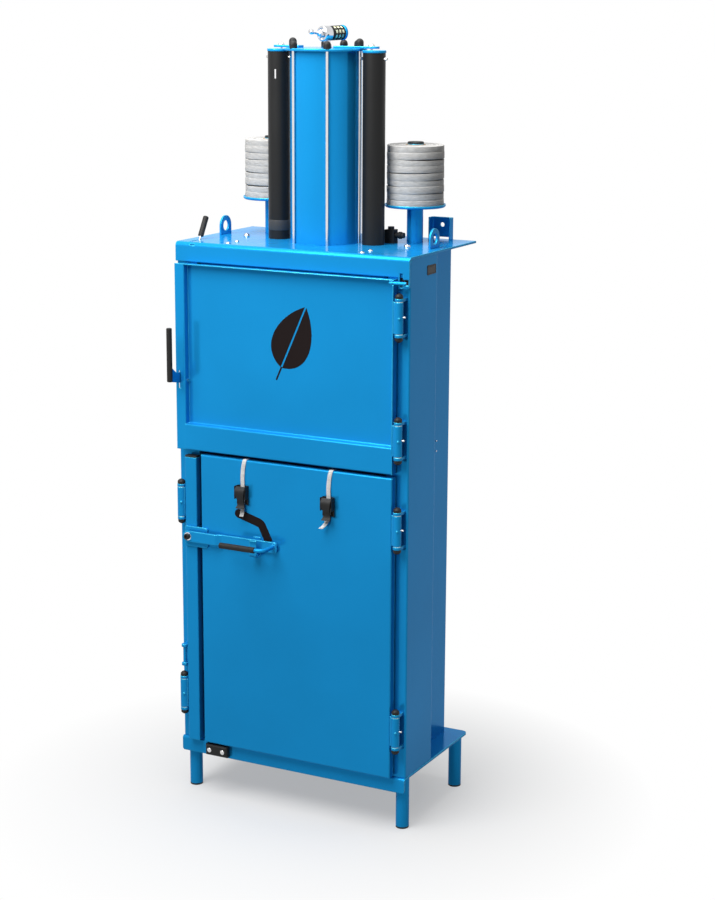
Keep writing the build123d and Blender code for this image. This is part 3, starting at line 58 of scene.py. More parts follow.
# Floor: its colour to the eye and for the light that it throws back, in what distance in metres its
# shadow fades, and how much of the shadow a white veil takes from the start
FLOOR_PALE = (0.68, 0.68, 0.68, 1.0)
FLOOR_DULL = (0.22, 0.22, 0.22, 1.0)
FLOOR_ROUGHNESS = 0.9
FLOOR_SIZE = 1200.0
FLOOR_DROP = 0.0005
SHADOW_START = 0.30
SHADOW_END = 1.00
SHADOW_VEIL = 0.40

# Light of the sky on the machine; to the eye the sky is plain white
SKY_LEVEL = 0.19

# Camera, in the machine's own millimetres and degrees
EYE_POINT = (2703.0, -4761.9, 2320.4)
YAW = 27.588
PITCH = 12.862
ROLL = 0.250
LENS = 80.41
SENSOR = 36.0
SEES_TO = 3000.0

# Sizes from here to the strapping are in millimetres and degrees where nothing else is said, and
# places are in the machine's own frame

# An edge of a block counts as running along an axis from this length
LEAST_EDGE = 0.1

# Strapping rolls: the turns lean and grow by slow waves from one to the next, and each is turned a
# step further; the waves and the step are in radians
TURNS = 9
ROLL_RADIUS = 80.0
CORE_OUTER = 28.0
CORE_INNER = 24.0
CORE_PLAY = 0.1
CORE_STANDS_OUT = 1.5
CORE_EDGE = 0.5
TURN_EDGE = 1.5
TURN_CLEARANCE = 0.5
TURN_OVERLAP = 1.03
TURN_SIDES = 80
TURN_LEAN = 1.3
END_TURN_SHARE = 0.2
LEAN_WAVE = 2.1
LEAN_WAVE_ACROSS = 1.6
RIGHT_ROLL_WAVE = 1.3
TURN_STEP = 0.35
GROWTH = 0.006
GROWTH_WAVE = 3.7
GROWTH_START = 0.4
TOP_RIDGES = 6
RIDGE_WIDTH = 3.6
RIDGE_DEPTH = 0.9
# The rolls' strapping is the buckles' strapping with a darker white and shade: painted shade
ROLL_SHADED_WHITE = (0.62, 0.61, 0.59, 1.0)
ROLL_SHADE = (0.30, 0.295, 0.285, 1.0)

# Exhaust silencer: its turn, its tilt, and lengths from its front face along its own axis. The nut
# in its face is given by its radius, its two ends and its edge, and the foot's top by its height
# from the silencer's middle
SILENCER_AT = (6.0, 209.0, 2206.2)
SILENCER_TURN = 18.0
SILENCER_TILT = 1.7
SILENCER_FRONT = 21.0
SILENCER_RADIUS = 21.0
SILENCER_EDGE = 2.5
FACE_RIM = 3.0
FACE_STEP = 1.5
FACE_SUNK = 2.0
CAGE_RADIUS = 20.0
CAGE_SHEET = 1.4
CAGE_EDGE = 0.4
CAGE_START = 27.0
CAGE_END = 74.0
RING_END = 82.0
RING_EDGE = 1.5
RING_RIM = 5.0
RING_STEP = 0.8
RING_SUNK = 1.5
FELT_RADIUS = 18.2
FELT_EDGE = 0.5
WINDOW_ROWS = ((37.0, 45.0), (49.0, 57.0), (61.0, 69.0))
WINDOW_COLUMNS = 8
CAGE_FACETS = 8
WINDOW_BARS = (0, 1)
FACE_NUT = (11.0, -8.0, 2.0, 1.0)
NIPPLE_TILT = 10.0
NIPPLE_STEPS = (
    (3.0, -47.0), (5.4, -46.0), (7.0, -42.5), (7.2, -38.0), (6.2, -33.0), (4.6, -29.0), (4.6, -14.0),
    (7.5, -12.0), (8.5, -9.0), (8.5, -2.0),
)
FOOT_RADIUS = 9.0
FOOT_TOP = -14.0
FOOT_EDGE = 0.8
FOOT_NUT_RADIUS = 12.0
FOOT_NUT_HEIGHT = 10.0
FOOT_NUT_EDGE = 1.0

# Top of the cylinder cap, and the domed plug at its back
CAP_TOP = 2167.0
CAP_PLUG_Y = 318.0
CAP_PLUG_STEPS = (
    (9.5, 0.0), (11.0, 3.0), (11.4, 8.0), (10.6, 12.5), (8.6, 16.5), (5.6, 19.2), (2.2, 20.6),
)

# Door faces, the film that is on them, and within what distance in metres its points are merged
DOOR_FACE = -21.0
PANEL_FACE = 0.0
FILM = 0.35
MERGE_WITHIN = 0.00001

# The leaf: the handles of its outline's curve are shares of its half width and length
LEAF_MIDDLE = (8.0, 1375.0)
LEAF_LENGTH = 190.0
LEAF_HALF = 58.0
LEAF_GAP = 2.5
LEAF_FOOT_HANDLE = (1.5, 0.12)
LEAF_TIP_HANDLE = (1.25, 0.66)
LEAF_SPINE_HANDLES = (0.3, 0.7)
LEAF_STEPS = 24
LEAF_PIVOT = 0.42
LEAF_LEAN = -24.0
STEM_WIDTH = 5.0
STEM_LENGTH = 42.0
STEM_MIDDLE = -19.0
STEM_ROUND = 2.2

# The bent stripe: where its middle line starts, bends and ends on the lower door, and the radius of
# its bend
STRIPE_WIDTH = 26.0
STRIPE_START = (-153.6, 872.7)
STRIPE_CORNER = (-80.5, 851.7)
STRIPE_END = (-55.0, 801.0)
STRIPE_BEND = 17.0
STRIPE_BEND_STEPS = 8
STRIPE_ROUNDING = 0.98

# Band round the foot of the left guide tube
BAND_LOW = 1657.0
BAND_HIGH = 1686.0
BAND_PROUD = 0.35
BAND_SUNK = 0.4
BAND_EDGE = 0.1

# Bare plate on the right side: its rim, its field, and how the rim is shaped
PLATE_AT = (366.95, 138.5, 1585.0)
PLATE_SIZE = (0.9, 54.0, 26.0)
PLATE_CORNER = 2.5
PLATE_RIM = 4.0
PLATE_STEP = 0.4
FIELD_SIZE = (0.4, 45.0, 17.0)
FIELD_CORNER = 1.0

# Screws in the guide tubes' sides, and rivets on the chamber's side
SCREW_STEPS = ((4.4, -1.0), (4.4, 6.5), (3.8, 8.0), (2.6, 9.0), (2.2, 9.0), (2.0, 6.0))
TUBE_MIDDLES = (-150.0, 150.0)
SCREW_ASIDE = 31.5
SCREW_Y = 213.0
SCREW_HEIGHT = 2140.0
RIVET_X = 303.4
RIVET_Y = 312.0
RIVET_HEIGHTS = (1038.0, 1068.0)
RIVET_SCALE = 0.5

# Hinges, and the grease nipples on their barrels
HINGE_X = 347.0
HINGE_Y = -17.5
BARREL_RADIUS = 12.0
NIPPLE_RISE = 3.0
GREASE_NIPPLE_STEPS = (
    (2.6, -2.0), (2.6, 2.0), (1.7, 2.6), (1.7, 3.6), (2.8, 4.4), (2.8, 6.2), (1.4, 7.2),
)
UPPER_HINGES = (1471.5, 1135.5)
LOWER_HINGES = (885.0, 304.0)

# Plug in the lock bar's top, and the washer that sits behind the front of the lock's pivot bolt
PLUG_HEIGHT = 7.0
PLUG_SUNK = 2.0
PLUG_PLAY = 0.6
PLUG_CORNER = 4.0
PLUG_EDGE = 1.6
SPACER_WIDER = 1.0
WASHER_OUTSIDE = 2.6
WASHER_PLAY = 0.2
WASHER_THICK = 1.2
WASHER_EDGE = 0.3
WASHER_SIDES = 48
WASHER_SEAT = 8.0

# Strapping in the two buckles
BUCKLES = (-138.5, 137.7)
STRAP_WIDTH = 12.6
STRAP_THICK = 1.1
STRAP_EDGE = 0.3
# The buckles' strapping is the rolls' strapping with a lighter white and shade: painted light
STRAP_LIT_WHITE = (0.88, 0.88, 0.87, 1.0)
STRAP_SHADE = (0.50, 0.50, 0.50, 1.0)
STRAP_LEAN = 6.0
LEFT_TAIL = ((0.3, -25.6, 893.0), (0.6, -28.2, 882.0), (0.8, -31.0, 874.0), (0.8, -34.0, 868.5))
RIGHT_TAIL = (
    (-1.5, -26.0, 893.0), (-5.0, -30.0, 882.0), (-11.0, -34.0, 873.0), (-18.0, -38.5, 867.0),
)

# Weave in metres: from cord to cord on a roll and in a buckle, and from thread to thread
ROLL_CORD = 0.0022
BUCKLE_CORD = 0.0042
THREAD = 0.0035

# How fine the noise of each finish is, in repeats a metre
COAT_PATCHES = 38.0
COAT_CLOUDS = 2.6
COAT_SPECKS = 900.0
COAT_SMEARS = 11.0
ORANGE_PEEL = 260.0
METAL_MARKS = 700.0
METAL_DULLNESS = 55.0
MOULDED_GRAIN = 1200.0
FELT_GRAIN = 500.0
CARD_GRAIN = 300.0
MOULDED_WEAR = 70.0
WEAVE_UNEVENNESS = 60.0

# The range that most of a noise's values lie in
NOISE_LOW = 0.3
NOISE_HIGH = 0.7

# How like the flat normal the rounded one is where a coat's painted edge highlight begins to show
# and shows in full, and over what width in metres the edge is rounded
EDGE_HIGHLIGHT_BEGINS = 0.996
EDGE_HIGHLIGHT_FULL = 0.90
COAT_EDGE = 0.0015

# Depth of each finish's relief in metres, and the strength of the weave's
PEEL_DEPTH = 0.0004
MARK_DEPTH = 0.0002
GRAIN_DEPTH = 0.0003
WEAVE_DEPTH = 0.0004
WEAVE_BUMP = 0.5


def at(x, y, z):
    """A point of the machine, from its own millimetres to the frame's metres."""
    return Vector((x * MM, (y - MACHINE_MIDDLE) * MM, z * MM))


# Shaders


def link(tree, source, target):
    tree.links.new(source, target)


def add_node(tree, kind, **settings):
    node = tree.nodes.new(kind)
    for key, value in settings.items():
        setattr(node, key, value)
    return node


def maths(tree, operation, first, second=None, clamp=False):
    """A Math node whose inputs are sockets or plain numbers."""
    node = add_node(tree, "ShaderNodeMath", operation=operation, use_clamp=clamp)
    for socket, value in zip(node.inputs, (first, second)):
        if isinstance(value, (int, float)):
            socket.default_value = value
        elif value is not None:
            link(tree, value, socket)
    return node.outputs["Value"]


def weighed(tree, first, first_share, second, second_share):
    """Two values added, each times its own share."""
    first = maths(tree, "MULTIPLY", first, first_share)
    second = maths(tree, "MULTIPLY", second, second_share)
    return maths(tree, "ADD", first, second)


def span(tree, value, low, high, to_low, to_high):
    """Maps a value from one range to another, held at its ends."""
    node = add_node(tree, "ShaderNodeMapRange")
    link(tree, value, node.inputs["Value"])
    limits = {"From Min": low, "From Max": high, "To Min": to_low, "To Max": to_high}
    for name, number in limits.items():
        if isinstance(number, (int, float)):
            node.inputs[name].default_value = number
        else:
            link(tree, number, node.inputs[name])
    return node.outputs["Result"]


def blend_colour(tree, factor, first, second):
    """Mixes two colours, each a socket or a plain colour."""
    node = add_node(tree, "ShaderNodeMix", data_type="RGBA", blend_type="MIX")
    factor_in, first_in, second_in = node.inputs[0], node.inputs[6], node.inputs[7]
    link(tree, factor, factor_in)
    for socket, value in ((first_in, first), (second_in, second)):
        if isinstance(value, tuple):
            socket.default_value = value
        else:
            link(tree, value, socket)
    return node.outputs[2]


def noise(tree, place, scale, detail, stretch=None):
    """Noise on the piece's own coordinates, scaled along each axis where that is asked for."""
    if stretch:
        mapping = add_node(tree, "ShaderNodeMapping")
        mapping.inputs["Scale"].default_value = stretch
        link(tree, place, mapping.inputs["Vector"])
        place = mapping.outputs["Vector"]
    node = add_node(tree, "ShaderNodeTexNoise")
    node.inputs["Detail"].default_value = detail
    if isinstance(scale, (int, float)):
        node.inputs["Scale"].default_value = scale
    else:
        link(tree, scale, node.inputs["Scale"])
    link(tree, place, node.inputs["Vector"])
    return node.outputs["Fac"]


def new_group(name, inputs, outputs):
    """An empty shader node group with named sockets."""
    tree = bpy.data.node_groups.new(name, "ShaderNodeTree")
    for label, kind, value in inputs:
        socket = tree.interface.new_socket(name=label, in_out="INPUT", socket_type=kind)
        socket.default_value = value
    for label, kind in outputs:
        tree.interface.new_socket(name=label, in_out="OUTPUT", socket_type=kind)
    return tree, tree.nodes.new("NodeGroupInput"), tree.nodes.new("NodeGroupOutput")


def grey(level):
    """An even grey at a level."""
    return (level, level, level, 1.0)


FLOAT = "NodeSocketFloat"
COLOUR = "NodeSocketColor"
VECTOR = "NodeSocketVector"
GREY = grey(0.5)


def painted_sheet_group():
    """Powder coat: cloudy, finely specked colour, orange peel and a painted highlight on upward
    edges.
    """
    tree, given, result = new_group(
        "powder_coat",
        (
            ("Colour", COLOUR, GREY), ("Edge Highlight Colour", COLOUR, GREY),
            ("Edge Width", FLOAT, COAT_EDGE), ("Edge Highlight Amount", FLOAT, 0.5), ("Cloud", FLOAT, 0.06),
            ("Smooth", FLOAT, 0.2), ("Rough", FLOAT, 0.3),
        ),
        (("Colour", COLOUR), ("Roughness", FLOAT), ("Height", FLOAT), ("Normal", VECTOR)),
    )
    place = add_node(tree, "ShaderNodeTexCoord").outputs["Object"]

    # Painted highlight: where the rounded normal leaves the flat one the edge is lightened, in
    # patches and most where it faces upward
    rounded = add_node(tree, "ShaderNodeBevel", samples=6)
    link(tree, given.outputs["Edge Width"], rounded.inputs["Radius"])
    flat = add_node(tree, "ShaderNodeNewGeometry").outputs["Normal"]
    likeness = add_node(tree, "ShaderNodeVectorMath", operation="DOT_PRODUCT")
    link(tree, rounded.outputs["Normal"], likeness.inputs[0])
    link(tree, flat, likeness.inputs[1])
    edge = span(tree, likeness.outputs["Value"], EDGE_HIGHLIGHT_BEGINS, EDGE_HIGHLIGHT_FULL, 0.0, 1.0)
    patches = noise(tree, place, COAT_PATCHES, detail=4.0)
    patches = span(tree, patches, 0.35, 0.62, 0.65, 1.0)
    edge = maths(tree, "MULTIPLY", edge, patches)
    parts = add_node(tree, "ShaderNodeSeparateXYZ")
    link(tree, rounded.outputs["Normal"], parts.inputs["Vector"])
    upward = span(tree, parts.outputs["Z"], -0.1, 0.5, 0.3, 1.0)
    edge = maths(tree, "MULTIPLY", edge, upward)
    edge = maths(tree, "MULTIPLY", edge, given.outputs["Edge Highlight Amount"])

    # The coat's own colour, a little lighter or darker in clouds and specks
    cloud = noise(tree, place, COAT_CLOUDS, detail=4.0)
    cloud = span(tree, cloud, NOISE_LOW, NOISE_HIGH, -1.0, 1.0)
    cloud = maths(tree, "MULTIPLY", cloud, given.outputs["Cloud"])
    speck = noise(tree, place, COAT_SPECKS, detail=2.0)
    speck = span(tree, speck, NOISE_LOW, NOISE_HIGH, -0.02, 0.02)
    value = maths(tree, "ADD", maths(tree, "ADD", cloud, speck), 1.0)
    shade = add_node(tree, "ShaderNodeHueSaturation")
    link(tree, given.outputs["Colour"], shade.inputs["Color"])
    link(tree, value, shade.inputs["Value"])
    # The painted edge highlight is mixed over the coat's own colour
    colour = blend_colour(tree, edge, shade.outputs["Color"], given.outputs["Edge Highlight Colour"])
    link(tree, colour, result.inputs["Colour"])

    smear = noise(tree, place, COAT_SMEARS, detail=5.0)
    smooth, rough = given.outputs["Smooth"], given.outputs["Rough"]
    link(tree, span(tree, smear, NOISE_LOW, NOISE_HIGH, smooth, rough), result.inputs["Roughness"])
    link(tree, noise(tree, place, ORANGE_PEEL, detail=3.0), result.inputs["Height"])
    link(tree, rounded.outputs["Normal"], result.inputs["Normal"])
    return tree


def worked_metal_group():
    """Bare metal: fine marks along Z, with duller patches."""
    tree, given, result = new_group(
        "worked_metal",
        (
            ("Colour", COLOUR, GREY), ("Dull Colour", COLOUR, GREY),
            ("Fineness", FLOAT, METAL_MARKS), ("Smooth", FLOAT, 0.15), ("Rough", FLOAT, 0.35),
        ),
        (("Colour", COLOUR), ("Roughness", FLOAT), ("Height", FLOAT)),
    )
    place = add_node(tree, "ShaderNodeTexCoord").outputs["Object"]
    marks = noise(tree, place, given.outputs["Fineness"], detail=2.0, stretch=(1.0, 1.0, 0.06))
    dull = span(tree, noise(tree, place, METAL_DULLNESS, detail=5.0), 0.4, 0.7, 0.0, 1.0)
    colour = blend_colour(tree, dull, given.outputs["Colour"], given.outputs["Dull Colour"])
    link(tree, colour, result.inputs["Colour"])
    mixed = weighed(tree, marks, 0.6, dull, 0.4)
    smooth, rough = given.outputs["Smooth"], given.outputs["Rough"]
    link(tree, span(tree, mixed, 0.2, 0.7, smooth, rough), result.inputs["Roughness"])
    link(tree, marks, result.inputs["Height"])
    return tree


def moulded_group():
    """Plastic, rubber, felt or card: a fine grain, with spots of the worn colour."""
    tree, given, result = new_group(
        "moulded_grain",
        (
            ("Colour", COLOUR, GREY), ("Worn Colour", COLOUR, GREY),
            ("Grain", FLOAT, MOULDED_GRAIN), ("Smooth", FLOAT, 0.4), ("Rough", FLOAT, 0.6),
        ),
        (("Colour", COLOUR), ("Roughness", FLOAT), ("Height", FLOAT)),
    )
    place = add_node(tree, "ShaderNodeTexCoord").outputs["Object"]
    grain = noise(tree, place, given.outputs["Grain"], detail=2.0)
    worn = span(tree, noise(tree, place, MOULDED_WEAR, detail=5.0), 0.5, 0.75, 0.0, 0.6)
    colour = blend_colour(tree, worn, given.outputs["Colour"], given.outputs["Worn Colour"])
    link(tree, colour, result.inputs["Colour"])
    smooth, rough = given.outputs["Smooth"], given.outputs["Rough"]
    link(tree, span(tree, grain, NOISE_LOW, NOISE_HIGH, smooth, rough), result.inputs["Roughness"])
    link(tree, grain, result.inputs["Height"])
    return tree


def ribs(tree, way, spacing):
    """A wave from -1 to 1 that comes back at each spacing of the way."""
    repeats = maths(tree, "DIVIDE", way, spacing)
    return maths(tree, "SINE", maths(tree, "MULTIPLY", repeats, 2 * math.pi))


def webbing_group():
    """Woven cord strapping: cords side by side, stitched by finer threads, painted shade in hollows.
    """
    tree, given, result = new_group(
        "cord_weave",
        (
            ("Across", FLOAT, 0.0), ("Along", FLOAT, 0.0), ("Cord", FLOAT, ROLL_CORD),
            ("Thread", FLOAT, THREAD), ("Colour", COLOUR, GREY), ("Shade Colour", COLOUR, GREY),
        ),
        (("Colour", COLOUR), ("Roughness", FLOAT), ("Height", FLOAT)),
    )
    cords = ribs(tree, given.outputs["Across"], given.outputs["Cord"])
    threads = ribs(tree, given.outputs["Along"], given.outputs["Thread"])
    height = maths(tree, "ADD", weighed(tree, cords, 0.4, threads, 0.12), 0.5)
    place = add_node(tree, "ShaderNodeTexCoord").outputs["Object"]
    uneven = noise(tree, place, WEAVE_UNEVENNESS, detail=4.0, stretch=(1.0, 1.0, 5.0))
    # Painted shade: the colour goes towards the shade colour in the weave's hollows, and at random
    # with the uneven noise
    relief = weighed(tree, height, 0.45, uneven, 0.55)
    shade = span(tree, relief, NOISE_LOW, NOISE_HIGH, 1.0, 0.0)
    colour = blend_colour(tree, shade, given.outputs["Colour"], given.outputs["Shade Colour"])
    link(tree, colour, result.inputs["Colour"])
    link(tree, span(tree, uneven, NOISE_LOW, NOISE_HIGH, 0.45, 0.7), result.inputs["Roughness"])
    link(tree, height, result.inputs["Height"])
    return tree


POWDER_COAT = painted_sheet_group()
WORKED_METAL = worked_metal_group()
MOULDED = moulded_group()
CORD_WEAVE = webbing_group()


def finish_of(name, group, values, bump, constants, rounded=False):
    """A material: one of the groups above, a bump from its height, the shader's own constants."""
    material = bpy.data.materials.new(name)
    material.use_nodes = True
    tree = material.node_tree
    shader = tree.nodes["Principled BSDF"]
    surface = add_node(tree, "ShaderNodeGroup", node_tree=group)
    for key, value in values.items():
        surface.inputs[key].default_value = value
    link(tree, surface.outputs["Colour"], shader.inputs["Base Color"])
    link(tree, surface.outputs["Roughness"], shader.inputs["Roughness"])
    lift = add_node(tree, "ShaderNodeBump")
    strength, distance = bump
    lift.inputs["Strength"].default_value = strength
    lift.inputs["Distance"].default_value = distance
    link(tree, surface.outputs["Height"], lift.inputs["Height"])
    if rounded:
        link(tree, surface.outputs["Normal"], lift.inputs["Normal"])
    link(tree, lift.outputs["Normal"], shader.inputs["Normal"])
    for key, value in constants.items():
        shader.inputs[key].default_value = value
    return material, surface


def coat(name, colour, edge, edge_amount, smooth, rough, peel, constants, edge_width=COAT_EDGE):
    """A paint or film on steel, with a painted edge highlight, its peel's strength and shader
    constants.
    """
    values = {
        "Colour": colour, "Edge Highlight Colour": edge, "Edge Highlight Amount": edge_amount, "Edge Width": edge_width,
        "Smooth": smooth, "Rough": rough,
    }
    return finish_of(name, POWDER_COAT, values, (peel, PEEL_DEPTH), constants, rounded=True)[0]


# Each coat's edge colour below is the colour of its painted highlight on upward edges
BLUE_TINT = (0.10, 0.60, 1.0, 1.0)
blue_paint = coat(
    "blue_powder_coat", colour=(0.0100, 0.285, 0.65, 1.0), edge=(0.10, 0.80, 1.0, 1.0),
    edge_amount=1.0, smooth=0.12, rough=0.22, peel=0.06, edge_width=0.0034,
    constants={"Metallic": 0.28, "Specular IOR Level": 0.08, "Specular Tint": BLUE_TINT},
)
black_paint = coat(
    "black_tube_coat", colour=grey(0.012), edge=grey(0.04),
    edge_amount=0.4, smooth=0.34, rough=0.46, peel=0.10, constants={"Specular IOR Level": 0.2},
)
blackened_steel = coat(
    "blackened_steel", colour=(0.013, 0.012, 0.012, 1.0), edge=(0.07, 0.065, 0.06, 1.0),
    edge_amount=0.5, smooth=0.32, rough=0.5, peel=0.2, constants={"Metallic": 0.6},
)
film_black = coat(
    "dark_film", colour=(0.0095, 0.0055, 0.0055, 1.0), edge=(0.02, 0.014, 0.014, 1.0),
    edge_amount=0.3, smooth=0.5, rough=0.62, peel=0.03, constants={"Specular IOR Level": 0.1},
)
film_grey = coat(
    "grey_film", colour=(0.052, 0.051, 0.050, 1.0), edge=grey(0.12),
    edge_amount=0.3, smooth=0.4, rough=0.55, peel=0.03, constants={"Specular IOR Level": 0.2},
)


def metal(name, colour, dull, smooth, rough, bump):
    """A bare metal, with its marks' strength as bump."""
    values = {"Colour": colour, "Dull Colour": dull, "Smooth": smooth, "Rough": rough}
    return finish_of(name, WORKED_METAL, values, (bump, MARK_DEPTH), {"Metallic": 1.0})[0]


zinc_steel = metal(
    "zinc_plated_steel", colour=(0.66, 0.65, 0.65, 1.0), dull=(0.58, 0.57, 0.56, 1.0),
    smooth=0.14, rough=0.28, bump=0.02,
)
aluminium = metal(
    "machined_aluminium", colour=(0.62, 0.63, 0.64, 1.0), dull=(0.5, 0.51, 0.52, 1.0),
    smooth=0.22, rough=0.4, bump=0.06,
)
rod_steel = metal(
    "drawn_rod_steel", colour=grey(0.80), dull=grey(0.77), smooth=0.13, rough=0.17, bump=0.004
)
chrome = metal(
    "polished_chrome", colour=(0.70, 0.71, 0.73, 1.0), dull=(0.60, 0.61, 0.63, 1.0),
    smooth=0.03, rough=0.08, bump=0.01,
)


def moulding(name, colour, worn, smooth, rough, bump, grain=MOULDED_GRAIN):
    """A plastic, rubber, felt or card, with its grain's strength as bump."""
    values = {
        "Colour": colour, "Worn Colour": worn, "Smooth": smooth, "Rough": rough, "Grain": grain,
    }
    return finish_of(name, MOULDED, values, (bump, GRAIN_DEPTH), {"Specular IOR Level": 0.25})[0]


black_plastic = moulding(
    "black_plastic", colour=grey(0.011), worn=(0.018, 0.018, 0.017, 1.0),
    smooth=0.42, rough=0.58, bump=0.15,
)
grip_rubber = moulding(
    "grip_rubber", colour=(0.014, 0.0135, 0.013, 1.0), worn=(0.024, 0.023, 0.022, 1.0),
    smooth=0.5, rough=0.7, bump=0.3,
)
felt = moulding(
    "silencer_felt", colour=(0.95, 0.94, 0.62, 1.0), worn=(0.90, 0.88, 0.50, 1.0),
    smooth=0.8, rough=0.95, bump=0.3, grain=FELT_GRAIN,
)
card = moulding(
    "roll_card", colour=(0.36, 0.24, 0.13, 1.0), worn=(0.28, 0.18, 0.09, 1.0),
    smooth=0.8, rough=0.95, bump=0.4, grain=CARD_GRAIN,
)


def webbing(name, colour, shade, cord):
    """White cord strapping, with the nodes of the place on which its weave is drawn."""
    values = {"Colour": colour, "Shade Colour": shade, "Cord": cord}
    bump = (WEAVE_BUMP, WEAVE_DEPTH)
    material, surface = finish_of(name, CORD_WEAVE, values, bump, {"Specular IOR Level": 0.3})
    tree = material.node_tree
    place = add_node(tree, "ShaderNodeTexCoord").outputs["Object"]
    parts = add_node(tree, "ShaderNodeSeparateXYZ")
    return material, surface, place, parts


def roll_webbing(name, middle):
    """Strapping on a roll: its cords lie one above the other and run round the roll's middle."""
    material, surface, place, parts = webbing(name, ROLL_SHADED_WHITE, ROLL_SHADE, ROLL_CORD)
    tree = material.node_tree
    centred = add_node(tree, "ShaderNodeVectorMath", operation="SUBTRACT")
    centred.inputs[1].default_value = (middle[0], middle[1], 0.0)
    link(tree, place, centred.inputs[0])
    link(tree, centred.outputs["Vector"], parts.inputs["Vector"])
    link(tree, parts.outputs["Z"], surface.inputs["Across"])
    angle = maths(tree, "ARCTAN2", parts.outputs["Y"], parts.outputs["X"])
    link(tree, maths(tree, "MULTIPLY", angle, ROLL_RADIUS * MM), surface.inputs["Along"])
    return material


def buckle_webbing(name):
    """Strapping in a buckle: its cords lie side by side and run down the door."""
    material, surface, place, parts = webbing(name, STRAP_LIT_WHITE, STRAP_SHADE, BUCKLE_CORD)
    tree = material.node_tree
    link(tree, place, parts.inputs["Vector"])
    link(tree, parts.outputs["X"], surface.inputs["Across"])
    link(tree, parts.outputs["Z"], surface.inputs["Along"])
    return material


# Modelling helpers


def turned(degrees, axis):
    """A turn in degrees round an axis."""
    return Matrix.Rotation(math.radians(degrees), 4, axis)


def leave_edit():
    if bpy.context.mode != "OBJECT":
        bpy.ops.object.mode_set(mode="OBJECT")


def only(*pieces):
    """Selects these pieces alone, with the first one active."""
    leave_edit()
    bpy.ops.object.select_all(action="DESELECT")
    for piece in pieces:
        piece.select_set(True)
    bpy.context.view_layer.objects.active = pieces[0]


def unmark(piece, kind):
    """Deselects the whole piece, ready for its faces, edges or points to be selected in code."""
    only(piece)
    bpy.ops.object.mode_set(mode="EDIT")
    bpy.ops.mesh.select_mode(type=kind)
    bpy.ops.mesh.select_all(action="DESELECT")
    bpy.ops.object.mode_set(mode="OBJECT")


def mark_faces(piece, wanted):
    """Leaves the piece in edit mode with only the wanted faces selected."""
    unmark(piece, "FACE")
    for face in piece.data.polygons:
        face.select = wanted(face.center, face.normal)
    bpy.ops.object.mode_set(mode="EDIT")


def mark_edges(piece, wanted):
    """Leaves the piece in edit mode with only the wanted edges selected."""
    unmark(piece, "EDGE")
    points = piece.data.vertices
    for edge in piece.data.edges:
        edge.select = wanted(*(points[index].co for index in edge.vertices))
    bpy.ops.object.mode_set(mode="EDIT")


def mark_points(piece, wanted):
    """Leaves the piece in edit mode with only the wanted points selected."""
    unmark(piece, "VERT")
    for vertex in piece.data.vertices:
        vertex.select = wanted(vertex.co)
    bpy.ops.object.mode_set(mode="EDIT")


def top_face(centre, normal):
    return normal.z > OUTWARD


def bottom_face(centre, normal):
    return normal.z < -OUTWARD


def both_ends(centre, normal):
    return abs(normal.z) > OUTWARD


def settle(piece):
    """Puts the piece's place into its mesh."""
    only(piece)
    bpy.ops.object.transform_apply(location=True, rotation=True, scale=True)


def face_out(piece):
    only(piece)
    bpy.ops.object.mode_set(mode="EDIT")
    bpy.ops.mesh.select_all(action="SELECT")
    bpy.ops.mesh.normals_make_consistent(inside=False)
    bpy.ops.object.mode_set(mode="OBJECT")


def joined(pieces):
    only(*pieces)
    bpy.ops.object.join()
    return bpy.context.object


def copied(piece):
    twin = piece.copy()
    twin.data = piece.data.copy()
    bpy.context.collection.objects.link(twin)
    return twin


def ready(piece, name, body, material, smooth=35.0):
    """Finishes a piece: its name, its material, the body that it rides on, and smooth shading up
    to an angle in degrees between faces."""
    settle(piece)
    bpy.ops.object.shade_smooth_by_angle(angle=math.radians(smooth))
    piece.name = name
    piece.data.name = name
    piece.data.materials.clear()
    piece.data.materials.append(material)
    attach(piece, body)
    return piece


def soften_rim(piece, wanted, edge):
    """Rounds the rim of the wanted faces by an edge in metres."""
    mark_faces(piece, wanted)
    bpy.ops.mesh.region_to_loop()
    bpy.ops.mesh.bevel(offset=edge, segments=3, affect="EDGES")


def ring(middle, outer, inner, low, high, edge, sides=ROUND):
    """A ring standing along Z, in metres: a disc whose ends are inset and bridged into its bore."""
    bpy.ops.mesh.primitive_cylinder_add(
        vertices=sides, radius=outer, depth=high - low,
        location=(middle[0], middle[1], (low + high) / 2),
    )
    piece = bpy.context.object
    soften_rim(piece, both_ends, edge)
    mark_faces(piece, both_ends)
    bpy.ops.mesh.inset(thickness=outer - inner - edge)
    bpy.ops.mesh.bridge_edge_loops()
    leave_edit()
    return piece


def disc_bar(radius, low, high, edge, sides=ROUND):
    """A bar in millimetres along Z with softened ends, round or with as many sides as given."""
    bpy.ops.mesh.primitive_cylinder_add(
        vertices=sides, radius=radius * MM, depth=(high - low) * MM,
        location=(0, 0, (low + high) / 2 * MM),
    )
    piece = bpy.context.object
    soften_rim(piece, both_ends, edge * MM)
    settle(piece)
    return piece


def stepped_bar(steps, sides):
    """A turned bar: a disc's end is extruded and scaled through steps of radius and height in
    millimetres."""
    radius, low = steps[0]
    wide, high = steps[1]
    bpy.ops.mesh.primitive_cylinder_add(
        vertices=sides, radius=radius * MM, depth=(high - low) * MM,
        location=(0, 0, (high + low) / 2 * MM),
    )
    piece = bpy.context.object
    settle(piece)
    mark_faces(piece, top_face)
    factor = wide / radius
    origin = (0, 0, 0)
    bpy.ops.transform.resize(value=(factor, factor, 1), center_override=origin)
    for (last, start), (wide, end) in zip(steps[1:-1], steps[2:]):
        rise = (end - start) * MM
        bpy.ops.mesh.extrude_region_move(TRANSFORM_OT_translate={"value": (0, 0, rise)})
        factor = wide / last
        bpy.ops.transform.resize(value=(factor, factor, 1), center_override=origin)
    leave_edit()
    face_out(piece)
    return piece


